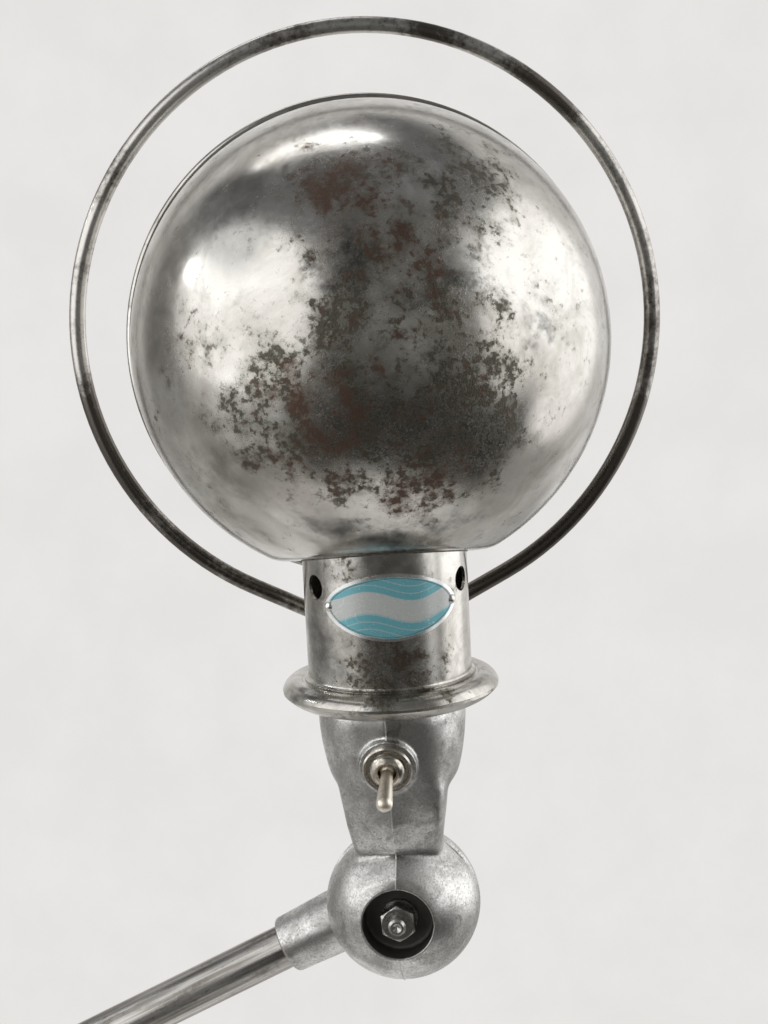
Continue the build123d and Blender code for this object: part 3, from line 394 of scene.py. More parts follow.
@dataclass(frozen=True)
class BurnishedSteel:
    """Bare sheet steel, rubbed bright by hand over an old patina that stays in films, flecks and blots."""

    name: str
    bright: Rgb = (0.675, 0.665, 0.63)
    dull: Rgb = (0.45, 0.43, 0.40)
    film: Rgb = (0.185, 0.185, 0.148)
    fleck: Rgb = (0.098, 0.090, 0.068)
    rust: Rgb = (0.108, 0.058, 0.040)
    roughness: float = 0.20
    cover: float = -1.4
    limit: float = 0.3
    cloud_size: float = 48.0
    blot_size: float = 9.0
    fleck_size: float = 2.3
    dent: float = 0.16
    stains: tuple[Stain, ...] = ()
    # Patches of painted shade, darkened towards the tone below: dark reflections, and shade where parts meet.
    soft_patches: tuple[Stain, ...] = ()
    painted_shade_tone: Rgb = (0.055, 0.058, 0.060)
    grain_tone: Rgb = (0.045, 0.038, 0.030)
    drift: Grain = (15.0, 5.0, 0.65)
    drift_reach: float = 62.0
    blot_share: float = 0.55
    fleck_share: float = 1.05
    film_share: float = 0.72
    halo_share: float = 0.42
    pepper_share: float = 0.7
    veil_share: float = 0.26
    warm_share: float = 0.30
    blush_share: float = 0.75
    patina_roughness: float = 0.42
    patina_dullness: Pair = (0.25, 0.55)
    smear_gain: float = 0.10
    film_gain: float = 0.10
    polish: float = 0.05
    pit_relief: Pair = (0.04, 0.6)
    tooth_relief: Pair = (0.010, 1.0)
    clouds: Grain = (6.0, 0.62, 0.5)
    blots: Grain = (3.0, 0.5)
    flecks: Grain = (5.0, 0.66)
    grains: Grain = (0.7, 3.0, 0.7)
    veils: Grain = (5.0, 0.6, 1.2)
    warmth: Grain = (4.0, 6.0, 0.7)
    smears: Grain = (8.0, 6.0, 0.7, 1.0)
    dents: Grain = (24.0, 2.0, 0.4)
    tooth: Grain = (1.4, 5.0, 0.7)
    film_band: Band = (-1.4, 1.3)
    halo_band: Band = (-0.35, 0.35)
    mark_band: Band = (0.35, 0.85)
    pepper_band: Band = (0.9, 1.4)
    pepper_by_cover: Band = (-1.7, 0.6, 0.12, 0.8)
    strength_by_cover: Band = (-1.6, 0.4, 0.45, 0.92)
    cloud_band: Band = (0.36, 0.62)
    veil_band: Band = (0.50, 0.66)
    warm_band: Band = (0.12, 0.55)
    grain_band: Band = (-0.6, 0.9, 0.0, 0.55)
    smear_band: Band = (0.3, 0.7)

    def drifted(self, g: Graph, p: Socket) -> Socket:
        """Position pushed about by a slow noise, so that no stain keeps a round outline.

        Args:
            g: The node tree.
            p: Position in millimetres.

        Returns:
            The pushed position.
        """
        size, detail, rough = self.drift
        inputs = {"Vector": p, "Scale": 1.0 / size, "Detail": detail, "Roughness": rough}
        drift = g.node("ShaderNodeTexNoise", inputs).outputs["Color"]
        centred = g.vector("SUBTRACT", drift, (NOISE_MIDDLE,) * 3)
        scaled = g.node("ShaderNodeVectorMath", {0: centred, "Scale": self.drift_reach}, operation="SCALE")
        return g.vector("ADD", p, scaled.outputs[0])

    def thickness(self, g: Graph, at: Socket) -> tuple[Socket, Socket, Socket]:
        """How thick the patina lies, how red it is, and how dark the painted shade makes it.

        Args:
            g: The node tree.
            at: Drifted position in millimetres.

        Returns:
            Three numbers.
        """
        thick: object = self.cover
        red: object = 0.0
        dark: object = 0.0
        for stain in self.stains:
            patch = g.near(at, stain.centre, stain.reach)
            thick = g.plus(thick, g.times(patch, stain.weight))
            if stain.rust:
                red = g.plus(red, g.times(patch, stain.rust))
        # Painted shade: each patch darkens the steel, standing for a dark reflection or the shade where parts
        # meet.
        for shade_patch in self.soft_patches:
            patch = g.near(at, shade_patch.centre, shade_patch.reach)
            dark = g.most(dark, g.times(patch, shade_patch.weight))
        thick = g.math("MINIMUM", thick, self.limit)
        return tuple(g.plus(value, 0.0) for value in (thick, red, dark))

    def make(self, place: Place) -> bpy.types.Material:
        """Builds the material.

        Args:
            place: Frame that the clouds, flecks and stains are laid out in.

        Returns:
            The material.
        """
        g = Graph(self.name)
        p = g.local(place)
        thick, red, dark = self.thickness(g, self.drifted(g, p))
        clouds = g.noise(p, self.cloud_size, *self.clouds)
        blots = g.times(g.spread(p, self.blot_size, *self.blots), self.blot_share)
        flecks = g.times(g.spread(p, self.fleck_size, *self.flecks), self.fleck_share)
        grains = g.spread(p, *self.grains)
        patina = g.plus(thick, blots)
        level = g.plus(patina, flecks)
        film = g.times(g.step(patina, *self.film_band), self.film_share)
        halo = g.times(g.step(level, *self.halo_band), self.halo_share)
        marks = g.most(g.step(level, *self.mark_band), halo)
        pepper = g.times(g.step(grains, *self.pepper_band), g.step(thick, *self.pepper_by_cover))
        strength = g.step(thick, *self.strength_by_cover)
        mask = g.times(g.most(marks, g.times(pepper, self.pepper_share)), strength)
        steel = g.mix(g.step(clouds, *self.cloud_band), self.dull, self.bright)
        veil = g.step(g.noise(p, self.cloud_size * 0.5, *self.veils), *self.veil_band)
        steel = g.mix(g.times(veil, self.veil_share), steel, self.film)
        steel = g.mix(film, steel, self.film)
        # Painted shade: the steel is darkened in the shade patches.
        steel = g.mix(dark, steel, self.painted_shade_tone)
        redness = g.plus(red, g.times(g.spread(p, *self.warmth), self.warm_share))
        warm = g.step(redness, *self.warm_band)
        tone = g.mix(warm, self.fleck, self.rust)
        tone = g.mix(g.step(grains, *self.grain_band), tone, self.grain_tone)
        colour = g.mix(mask, steel, tone)
        blush = g.times(g.times(film, warm), self.blush_share)
        colour = g.mix(blush, colour, self.rust)
        smear = g.times(g.step(g.noise(p, *self.smears), *self.smear_band), self.smear_gain)
        polish = g.plus(g.plus(smear, self.roughness - self.polish), g.times(film, self.film_gain))
        rough = g.blend(mask, polish, self.patina_roughness)
        metal = g.inverse(g.times(g.most(mask, blush), g.blend(warm, *self.patina_dullness)))
        dents = g.bump(g.noise(p, *self.dents), self.dent)
        pits = g.bump(g.inverse(g.times(mask, grains)), *self.pit_relief, dents)
        normal = g.bump(g.noise(p, *self.tooth), *self.tooth_relief, pits)
        return g.finish(Base_Color=colour, Metallic=metal, Roughness=rough, Normal=normal)


@dataclass(frozen=True)
class DrawnSteel:
    """Drawn tube or rod, rubbed along its length so that the sheen breaks into long streaks."""

    name: str
    bright: Rgb = (0.60, 0.59, 0.57)
    dark: Rgb = (0.20, 0.19, 0.175)
    roughness: float = 0.27
    worn: float = 0.5
    grime: Rgb = (0.10, 0.082, 0.066)
    streak_stretch: float = 26.0
    scuff_stretch: float = 5.0
    streaks: Grain = (2.6, 5.0, 0.6)
    scuffs: Grain = (6.0, 6.0, 0.7, 0.6)
    specks: Grain = (1.8, 6.0, 0.7)
    streak_band: Band = (0.36, 0.66)
    tarnish_band: Band = (0.50, 0.62)
    tarnish_shares: Pair = (0.6, 0.4)
    scuff_gain: float = 0.22
    polish: float = 0.08
    streak_relief: Pair = (0.02, 0.8)
    speck_relief: Pair = (0.015, 0.7)

    def make(self, place: Place) -> bpy.types.Material:
        """Builds the material.

        Args:
            place: Frame with its z axis along the tube, which the streaks follow.

        Returns:
            The material.
        """
        g = Graph(self.name)
        p = g.local(place)
        streaks = g.noise(g.local(place, (1.0, 1.0, self.streak_stretch)), *self.streaks)
        scuffs = g.noise(g.local(place, (1.0, 1.0, self.scuff_stretch)), *self.scuffs)
        specks = g.noise(p, *self.specks)
        tarnish = g.step(g.weigh(scuffs, specks, self.tarnish_shares), *self.tarnish_band)
        steel = g.mix(g.step(streaks, *self.streak_band), self.dark, self.bright)
        colour = g.mix(g.times(tarnish, self.worn), steel, self.grime)
        rough = g.plus(g.times(scuffs, self.scuff_gain), self.roughness - self.polish)
        lines = g.bump(streaks, *self.streak_relief)
        normal = g.bump(specks, *self.speck_relief, lines)
        return g.finish(Base_Color=colour, Metallic=1.0, Roughness=rough, Normal=normal)


@dataclass(frozen=True)
class WireSteel:
    """Bent rod of the handle: dark from handling, with bare rubbed stretches, a painted sheen on the left and
    painted shade low down.
    """

    name: str
    bare: Rgb = (0.58, 0.565, 0.54)
    dark: Rgb = (0.135, 0.122, 0.108)
    roughness: float = 0.26
    # Painted sheen: the rod is barer and brighter on its left side; painted shade: it is darker low down.
    painted_sheen_by_side: Band = (-70.0, 70.0, 0.10, 0.02)
    painted_shade_by_height: Band = (125.0, 215.0, -0.13, 0.0)
    rubbing: Grain = (46.0, 5.0, 0.62, 0.5)
    specks: Grain = (1.7, 6.0, 0.75)
    bare_band: Band = (0.44, 0.60)
    bare_shares: Pair = (0.7, 0.3)
    speck_gain: float = 0.24
    polish: float = 0.08
    speck_relief: Pair = (0.02, 0.8)

    def make(self, place: Place) -> bpy.types.Material:
        """Builds the material, with painted shade low down and a painted sheen on the left.

        Args:
            place: The head's place, which painted_sheen_by_side and painted_shade_by_height are measured in.

        Returns:
            The material.
        """
        g = Graph(self.name)
        p = g.local(place)
        rubbed = g.noise(p, *self.rubbing)
        specks = g.noise(p, *self.specks)
        across, _, up = g.axes(p)
        # Painted light: brighter on the left, darker low down.
        painted_light = g.plus(g.step(across, *self.painted_sheen_by_side), g.step(up, *self.painted_shade_by_height))
        share = g.plus(g.weigh(rubbed, specks, self.bare_shares), painted_light)
        colour = g.mix(g.step(share, *self.bare_band), self.dark, self.bare)
        rough = g.plus(g.times(specks, self.speck_gain), self.roughness - self.polish)
        normal = g.bump(specks, *self.speck_relief)
        return g.finish(Base_Color=colour, Metallic=1.0, Roughness=rough, Normal=normal)


@dataclass(frozen=True)
class CastMetal:
    """Sand-cast metal, brushed back to a dull sheen that shows the grain of the mould, with painted shade
    inside its bolt wells.
    """

    name: str
    bright: Rgb = (0.74, 0.74, 0.73)
    dull: Rgb = (0.42, 0.415, 0.405)
    pit: Rgb = (0.13, 0.12, 0.105)
    # Painted shade colour inside the bolt wells.
    black: Rgb = (0.15, 0.14, 0.13)
    roughness: float = 0.34
    grain: float = 0.7
    depth: float = 0.065
    well_radius: float = 11.95
    well_mouth: float = 23.0
    well_floor: float = 14.2
    wells: tuple[Vector, ...] = ()
    pit_share: float = 0.40
    stain_share: float = 0.50
    well_roughness: float = 0.6
    sand: Grain = (2.0, 0.6)
    coarse: Grain = (6.0, 0.75)
    soft_patches: Grain = (15.0, 6.0, 0.68, 0.7)
    stains: Grain = (8.0, 8.0, 0.78, 1.0)
    waves: Grain = (10.0, 2.0, 0.5)
    wave_depth: float = 0.12
    coarse_scale: float = 3.0
    fine_depth: float = 0.7
    rubbed_shares: Pair = (0.6, 0.4)
    pit_shares: Pair = (0.55, 0.45)
    dull_gain: float = 0.12
    pit_gain: float = 0.14
    polish: float = 0.05
    wall_edge: Pair = (0.12, 0.3)
    mouth_edge: float = 0.5
    floor_edge: Pair = (0.6, 0.2)
    rubbed_band: Band = (0.40, 0.60)
    pit_band: Band = (0.49, 0.60)
    stain_band: Band = (0.54, 0.66)
    well_shade_band: Band = (0.62, 0.70, 0.985, 0.85)

    def in_wells(self, g: Graph, p: Socket, place: Place) -> Socket:
        """Mask of the wells for the bolts, whose insides are darkened as painted shade.

        Args:
            g: The node tree.
            p: Position in the place's millimetres.
            place: That place; the wells run along its y axis.

        Returns:
            1 inside a well and 0 elsewhere.
        """
        shown: object = 0.0
        for ball in self.wells:
            offset = (place.matrix().inverted() @ ball) / MM
            x, y, z = g.axes(g.vector("SUBTRACT", p, offset))
            away = g.math("SQRT", g.plus(g.times(x, x), g.times(z, z)))
            deep = g.size(y)
            walls = (self.well_radius + edge for edge in self.wall_edge)
            inside = g.step(away, *walls, 1.0, 0.0)
            below = g.step(deep, self.well_mouth - self.mouth_edge, self.well_mouth, 1.0, 0.0)
            above = g.step(deep, *(self.well_floor - edge for edge in self.floor_edge))
            shown = g.most(shown, g.times(inside, g.times(below, above)))
        return shown

    def make(self, place: Place) -> bpy.types.Material:
        """Builds the material.

        Args:
            place: Frame of the casting.

        Returns:
            The material.
        """
        g = Graph(self.name)
        p = g.local(place)
        grains = g.noise(p, self.grain, *self.sand)
        coarse = g.noise(p, self.grain * self.coarse_scale, *self.coarse)
        soft_patches = g.noise(p, *self.soft_patches)
        rubbed = g.step(g.weigh(soft_patches, coarse, self.rubbed_shares), *self.rubbed_band)
        colour = g.mix(rubbed, self.dull, self.bright)
        pits = g.step(g.weigh(grains, coarse, self.pit_shares), *self.pit_band)
        colour = g.mix(g.times(pits, self.pit_share), colour, self.pit)
        stains = g.step(g.noise(p, *self.stains), *self.stain_band)
        colour = g.mix(g.times(stains, self.stain_share), colour, self.pit)
        rough = g.plus(g.times(g.inverse(rubbed), self.dull_gain), self.roughness - self.polish)
        rough = g.plus(rough, g.times(pits, self.pit_gain))
        if self.wells:
            well = self.in_wells(g, p, place)
            # Painted shade: the insides of the bolt wells are darkened in blotches, and made rougher.
            colour = g.mix(g.times(well, g.step(coarse, *self.well_shade_band)), colour, self.black)
            rough = g.blend(well, rough, self.well_roughness)
        waves = g.bump(g.noise(p, *self.waves), self.wave_depth)
        sand = g.bump(g.inverse(coarse), self.depth, 1.0, waves)
        normal = g.bump(g.inverse(grains), self.depth * self.fine_depth, 1.0, sand)
        return g.finish(Base_Color=colour, Metallic=1.0, Roughness=rough, Normal=normal)


@dataclass(frozen=True)
class Plated:
    """Plated or turned small part: smooth, with dulled spots and patches."""

    name: str
    colour: Rgb
    dull: Rgb
    roughness: float = 0.2
    wear: float = 0.5
    spots: Grain = (1.6, 6.0, 0.7, 0.4)
    patches: Grain = (6.0, 4.0, 0.6, 0.8)
    wear_band: Band = (0.46, 0.60)
    wear_shares: Pair = (0.5, 0.5)
    wear_gain: float = 0.3
    pit_relief: Pair = (0.012, 0.7)

    def make(self, place: Place) -> bpy.types.Material:
        """Builds the material.

        Args:
            place: Frame near the part.

        Returns:
            The material.
        """
        g = Graph(self.name)
        p = g.local(place)
        spots = g.noise(p, *self.spots)
        patches = g.noise(p, *self.patches)
        share = g.times(g.step(g.weigh(spots, patches, self.wear_shares), *self.wear_band), self.wear)
        colour = g.mix(share, self.colour, self.dull)
        rough = g.plus(g.times(share, self.wear_gain), self.roughness)
        normal = g.bump(spots, *self.pit_relief)
        return g.finish(Base_Color=colour, Metallic=1.0, Roughness=rough, Normal=normal)


@dataclass(frozen=True)
class Moulded:
    """Rubber, phenolic, fibre, glaze or enamel: one colour with a fine tooth, dust and faint mottling."""

    name: str
    colour: Rgb
    second: Rgb
    roughness: float = 0.5
    tooth: float = 0.02
    size: float = 1.2
    coat: float = 0.0
    coat_roughness: float = 0.12
    fine: Grain = (5.0, 0.65)
    broad: Grain = (5.0, 0.6, 0.6)
    mottle_band: Band = (0.40, 0.62)
    mottle_shares: Pair = (0.4, 0.6)
    broad_scale: float = 14.0
    mottle_gain: float = 0.18
    polish: float = 0.09

    def make(self, place: Place) -> bpy.types.Material:
        """Builds the material.

        Args:
            place: Frame near the part.

        Returns:
            The material.
        """
        g = Graph(self.name)
        p = g.local(place)
        fine = g.noise(p, self.size, *self.fine)
        broad = g.noise(p, self.size * self.broad_scale, *self.broad)
        share = g.step(g.weigh(fine, broad, self.mottle_shares), *self.mottle_band)
        colour = g.mix(share, self.colour, self.second)
        rough = g.plus(g.times(broad, self.mottle_gain), self.roughness - self.polish)
        normal = g.bump(fine, self.tooth)
        return g.finish(
            Base_Color=colour,
            Roughness=rough,
            Normal=normal,
            Coat_Weight=self.coat,
            Coat_Roughness=self.coat_roughness,
        )


@dataclass(frozen=True)
class OpalGlass:
    """Opal bulb glass: milky, smooth, slightly denser in places."""

    name: str
    colour: Rgb = (0.90, 0.89, 0.86)
    dense: Rgb = (0.97, 0.965, 0.94)
    roughness: float = 0.14
    clear: float = 0.08
    ior: float = 1.5
    haze: Grain = (22.0, 4.0, 0.6)
    haze_band: Band = (0.35, 0.65)
    ripple: Grain = (12.0, 2.0, 0.4)
    ripple_depth: float = 0.03

    def make(self, place: Place) -> bpy.types.Material:
        """Builds the material.

        Args:
            place: The neck's place.

        Returns:
            The material.
        """
        g = Graph(self.name)
        p = g.local(place)
        haze = g.step(g.noise(p, *self.haze), *self.haze_band)
        return g.finish(
            Base_Color=g.mix(haze, self.colour, self.dense),
            Roughness=self.roughness,
            Normal=g.bump(g.noise(p, *self.ripple), self.ripple_depth),
            Transmission_Weight=self.clear,
            IOR=self.ior,
        )


class BadgeField(Enum):
    """Colours of the badge's plain printed pattern."""

    METAL = (0.80, 0.81, 0.81)
    PALE = (0.74, 0.775, 0.77)
    SEA = (0.22, 0.60, 0.69)
    LINE = (0.10, 0.17, 0.18)


@dataclass(frozen=True)
class PrintedPlate:
    """Thin aluminium plate with a generic wave-line print in sea blue and pale grey, worn at its edge."""

    name: str
    radius: float
    height: float
    half_arc: float
    half_height: float
    fullness: float = 1.8
    bluntness: float = 0.6
    wave_turns: float = 5.0
    wave_rise: float = 0.16
    line_count: float = 2.3
    line_share: float = 0.55
    rule_at: float = 0.80
    rule_share: float = 0.7
    rule_rise: float = 0.6
    rule_depth: float = 0.03
    rubbing_share: float = 0.35
    rubbed_share: float = 0.75
    dirt_share: float = 0.25
    print_metal: float = 0.15
    roughness: float = 0.16
    wear_gain: float = 0.2
    grime: Rgb = (0.16, 0.15, 0.135)
    scratches: Grain = (1.4, 6.0, 0.72, 0.6)
    rubbing: Grain = (9.0, 3.0)
    dirt: Grain = (3.0, 6.0, 0.75, 0.5)
    field_band: Band = (0.30, 0.34)
    line_band: Band = (0.02, 0.05, 1.0, 0.0)
    rule_band: Band = (0.012, 0.03, 1.0, 0.0)
    rubbed_band: Band = (0.80, 0.88)
    dirt_band: Band = (0.58, 0.70)
    border_band: Band = (0.84, 0.87)

    def make(self, place: Place) -> bpy.types.Material:
        """Builds the print round the collar's axis.

        Args:
            place: Head place, whose z is the collar's axis.

        Returns:
            The material.
        """
        g = Graph(self.name)
        p = g.local(place)
        x, y, z = g.axes(p)
        angle = g.math("ARCTAN2", x, g.times(y, -1.0))
        across = g.math("DIVIDE", g.times(angle, self.radius), self.half_arc)
        up = g.math("DIVIDE", g.math("SUBTRACT", z, self.height), self.half_height)
        spread = g.math("POWER", g.size(across), self.fullness)
        edge = g.plus(g.math("POWER", g.size(up), 1.0 / self.bluntness), spread)
        wave = g.times(g.math("SINE", g.times(across, self.wave_turns)), self.wave_rise)
        level = g.plus(up, wave)
        stripes = g.math("PINGPONG", g.times(level, self.line_count), 0.5)
        field_mask = g.step(g.size(g.plus(level, -0.02)), *self.field_band)
        lines = g.step(g.size(g.math("SUBTRACT", stripes, 0.25)), *self.line_band)
        colour = g.mix(field_mask, BadgeField.PALE.value, BadgeField.SEA.value)
        colour = g.mix(g.times(lines, self.line_share), colour, BadgeField.METAL.value)
        rule = g.step(g.size(g.math("SUBTRACT", edge, self.rule_at)), *self.rule_band)
        colour = g.mix(g.times(rule, self.rule_share), colour, BadgeField.LINE.value)
        border = g.step(edge, *self.border_band)
        wear = g.noise(p, *self.scratches)
        rubbing = g.times(g.noise(p, *self.rubbing), self.rubbing_share)
        rubbed = g.step(g.plus(wear, rubbing), *self.rubbed_band)
        bare = g.most(border, g.times(rubbed, self.rubbed_share))
        colour = g.mix(bare, colour, BadgeField.METAL.value)
        grime = g.step(g.noise(p, *self.dirt), *self.dirt_band)
        colour = g.mix(g.times(grime, self.dirt_share), colour, self.grime)
        metal = g.blend(bare, self.print_metal, 1.0)
        rough = g.plus(g.times(wear, self.wear_gain), self.roughness)
        normal = g.bump(g.inverse(g.times(rule, self.rule_rise)), self.rule_depth)
        return g.finish(Base_Color=colour, Metallic=metal, Roughness=rough, Normal=normal)


SHARED_FINISHES: tuple[Plated | Moulded, ...] = (
    Plated("worn_nickel", (0.66, 0.63, 0.57), (0.22, 0.19, 0.145), 0.18, 0.6),
    Plated("rubbed_nickel", (0.90, 0.84, 0.74), (0.50, 0.42, 0.33), 0.36, 0.5),
    Plated("bolt_steel", (0.52, 0.51, 0.49), (0.16, 0.145, 0.125), 0.27, 0.8),
    Plated("zinc_sheet", (0.62, 0.63, 0.63), (0.38, 0.38, 0.37), 0.34, 0.6),
    Plated("brass", (0.80, 0.62, 0.30), (0.36, 0.26, 0.12), 0.22, 0.6),
    Plated("copper", (0.86, 0.48, 0.32), (0.36, 0.18, 0.11), 0.25, 0.6),
    Plated("bulb_cap_metal", (0.80, 0.80, 0.79), (0.48, 0.47, 0.45), 0.24, 0.5),
    Plated("rivet_aluminium", (0.84, 0.84, 0.83), (0.45, 0.44, 0.42), 0.24, 0.5),
    Moulded("black_rubber", (0.028, 0.028, 0.029), (0.06, 0.058, 0.055), 0.62, 0.05, 1.0),
    Moulded("lead_sheath", (0.035, 0.034, 0.033), (0.07, 0.068, 0.062), 0.5, 0.02, 1.5),
    Moulded("dark_phenolic", (0.035, 0.022, 0.016), (0.06, 0.04, 0.028), 0.32, 0.01, 1.6),
    Moulded("red_fibre", (0.28, 0.085, 0.05), (0.20, 0.07, 0.045), 0.55, 0.03, 0.8),
    Moulded("white_porcelain", (0.86, 0.85, 0.81), (0.80, 0.785, 0.73), 0.18, 0.01, 3.0, 0.6),
    Moulded("white_enamel", (0.84, 0.83, 0.79), (0.76, 0.74, 0.685), 0.22, 0.015, 3.5, 0.5),
)
SEAT_STEEL = BurnishedSteel("seat_ring_steel", roughness=0.3, cover=-0.9, dent=0.04)
DARK_SOLDER = Plated("dark_solder", (0.20, 0.185, 0.165), (0.07, 0.06, 0.05), 0.42, 0.8)
RUBBED_CAST = CastMetal("neck_seam", (0.86, 0.86, 0.85), (0.66, 0.66, 0.65))
BASE_IRON = CastMetal(
    "base_iron",
    (0.42, 0.41, 0.395),
    (0.22, 0.215, 0.205),
    (0.06, 0.052, 0.045),
    roughness=0.36,
    depth=0.07,
)


# ---------------------------------------------------------------- stains and painted shade patches, in the dome's and the head's places
DOME_STAINS = (
    Stain((-9.0, -62.0, 51.0), 26.4, 1.9, 0.9),
    Stain((6.0, -71.0, 37.0), 22.3, 2.1, 1.0),
    Stain((-27.0, -53.0, 55.0), 12.5, 1.2, 0.6),
    Stain((-16.0, -50.0, 61.0), 17.4, 1.0, 0.5),
    Stain((26.0, -50.0, 57.0), 31.2, 2.0),
    Stain((31.0, -59.0, 45.0), 19.5, 1.9),
    Stain((14.0, -74.0, 27.0), 25.0, 1.7, 0.3),
    Stain((3.0, -78.0, 20.0), 18.0, 1.6),
    Stain((24.0, -76.0, 10.0), 20.9, 1.7),
    Stain((25.0, -76.0, -1.0), 18.0, 1.7),
    Stain((1.0, -80.0, 9.0), 11.1, 1.2, 0.9),
    Stain((-12.0, -78.0, 15.0), 19.5, 1.6),
    Stain((-10.0, -73.0, 32.0), 13.8, 1.2),
    Stain((-16.0, -79.0, -1.0), 20.9, 1.4),
    Stain((-31.0, -74.0, -8.0), 31.2, 1.6),
    Stain((-43.0, -66.0, -16.0), 25.0, 1.4),
    Stain((-19.0, -77.0, -15.0), 22.3, 1.9, 0.9),
    Stain((-36.0, -68.0, -23.0), 20.9, 1.4, 0.2),
    Stain((3.0, -78.0, -17.0), 38.1, 1.9),
    Stain((21.0, -73.0, -25.0), 27.8, 1.6),
    Stain((33.0, -71.0, -18.0), 23.6, 2.0),
    Stain((35.0, -72.0, -6.0), 15.2, 1.4),
    Stain((-21.0, -71.0, -31.0), 15.2, 1.2, 0.3),
    Stain((3.0, -73.0, -33.0), 27.8, 1.2, 0.2),
    Stain((11.0, -66.0, -44.0), 24.3, 1.1, 0.6),
    Stain((-67.0, -44.0, 5.0), 13.8, 1.6, 0.3),
    Stain((-66.0, -45.0, -11.0), 13.8, 1.4),
    Stain((36.0, -65.0, -30.0), 20.9, 1.4),
    Stain((-55.0, -57.0, 11.0), 11.1, 1.0),
    Stain((49.0, -61.0, 18.0), 15.2, 0.6),
)
# Painted shade on the dome: soft dark patches that stand for dark reflections in its middle and for the shade
# just above the collar.
DOME_PAINTED_SHADE = (
    Stain((-12.0, -74.0, 29.0), 13.0, 0.80),
    Stain((24.0, -71.0, 29.0), 11.9, 0.75),
    Stain((48.0, -64.0, 6.0), 9.2, 0.60),
    Stain((-22.0, -55.0, 55.0), 9.8, 0.65),
    Stain((13.0, -77.0, 21.0), 8.1, 0.50),
    Stain((-12.0, -79.0, 0.0), 8.1, 0.45),
    Stain((-41.0, -68.0, 14.0), 4.9, 0.45),
    Stain((41.0, -63.0, -28.0), 11.9, 0.40),
    Stain((-54.0, -50.0, -33.0), 13.6, 0.30),
    Stain((-17.0, -57.0, -53.0), 11.9, 0.55),
    Stain((-5.0, -56.0, -58.0), 13.0, 0.70),
    Stain((9.0, -54.0, -59.0), 13.0, 0.70),
    Stain((22.0, -51.0, -57.0), 11.9, 0.55),
)
COLLAR_STAINS = (
    Stain((6.0, -27.0, 90.0), 21.0, 2.0, 0.35),
    Stain((-4.0, -27.0, 95.0), 16.0, 1.7, 0.15),
    Stain((-15.0, -24.0, 92.0), 15.0, 1.3),
    Stain((21.0, -17.0, 112.0), 10.0, 1.4),
    Stain((-15.0, -22.0, 122.0), 14.0, 1.4),
    Stain((-6.0, -35.0, 82.0), 17.0, 1.9),
    Stain((16.0, -32.0, 82.0), 11.0, 1.3),
)
# Painted shade on the collar: darker on its left side and at its top, just under the dome.
COLLAR_PAINTED_SHADE = (
    Stain((-24.0, -13.0, 96.0), 22.0, 0.65),
    Stain((-24.0, -13.0, 121.0), 16.0, 0.45),
    Stain((0.0, -27.0, 128.0), 18.0, 0.35),
)


# ---------------------------------------------------------------- pieces
def dress(node: str, *materials: bpy.types.Material) -> bpy.types.Object:
    """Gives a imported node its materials.

    Args:
        node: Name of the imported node.
        *materials: Its material slots, in order.

    Returns:
        The node's object.
    """
    obj = frame["nodes"][node]
    obj.data.materials.clear()
    for material in materials:
        obj.data.materials.append(material)
    log.info("dressed %s with %s", node, ", ".join(m.name for m in materials))
    return obj


def tube(
    name: str,
    points: list[Vector],
    radius: float,
    material: bpy.types.Material,
    body: str,
    closed: bool = False,
) -> bpy.types.Object:
    """A thin round seam along points, as a mesh that rides on a body.

    Args:
        name: Piece name.
        points: Centre line in the row frame, in metres.
        radius: Radius in millimetres.
        material: Its finish.
        body: Body that it rides on.
        closed: True for a loop.

    Returns:
        The new piece.
    """
    curve = bpy.data.curves.new(name, "CURVE")
    curve.dimensions = "3D"
    curve.bevel_depth = radius * MM
    curve.bevel_resolution = 3
    curve.use_fill_caps = True
    line = curve.splines.new("POLY")
    line.points.add(len(points) - 1)
    for target, point in zip(line.points, points):
        target.co = (*point, 1.0)
    line.use_cyclic_u = closed
    source = bpy.data.objects.new(name + "_line", curve)
    bpy.context.scene.collection.objects.link(source)
    mesh = bpy.data.meshes.new_from_object(source)
    bpy.data.objects.remove(source)
    mesh.materials.clear()
    mesh.materials.append(material)
    for face in mesh.polygons:
        face.use_smooth = True
    obj = bpy.data.objects.new(name, mesh)
    bpy.context.scene.collection.objects.link(obj)
    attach(obj, body)
    log.info("made %s on %s", name, body)
    return obj


@dataclass
class Finishes:
    """The finishes that several sub-assemblies share, built once."""

    layout: Layout
    made: dict[str, bpy.types.Material] = field(default_factory=dict)

    def build(self) -> None:
        """Makes the shared materials in the neck's place."""
        neck = self.layout.neck()
        for finish in SHARED_FINISHES:
            self.made[finish.name] = finish.make(neck)
            log.info("finish %s", finish.name)

    def __getitem__(self, name: str) -> bpy.types.Material:
        """The shared material of that name."""
        return self.made[name]


@dataclass
class Piece:
    """A sub-assembly of the lamp, with the places and finishes that it shares with the others."""

    layout: Layout
    finishes: Finishes

    def dress_all(self, table: dict[str, tuple[str, ...]], prefix: str = "") -> None:
        """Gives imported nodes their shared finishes.

        Args:
            table: The nodes for each finish.
            prefix: What all their names start with.
        """
        for finish, nodes in table.items():
            for node in nodes:
                dress(prefix + node, self.finishes[finish])


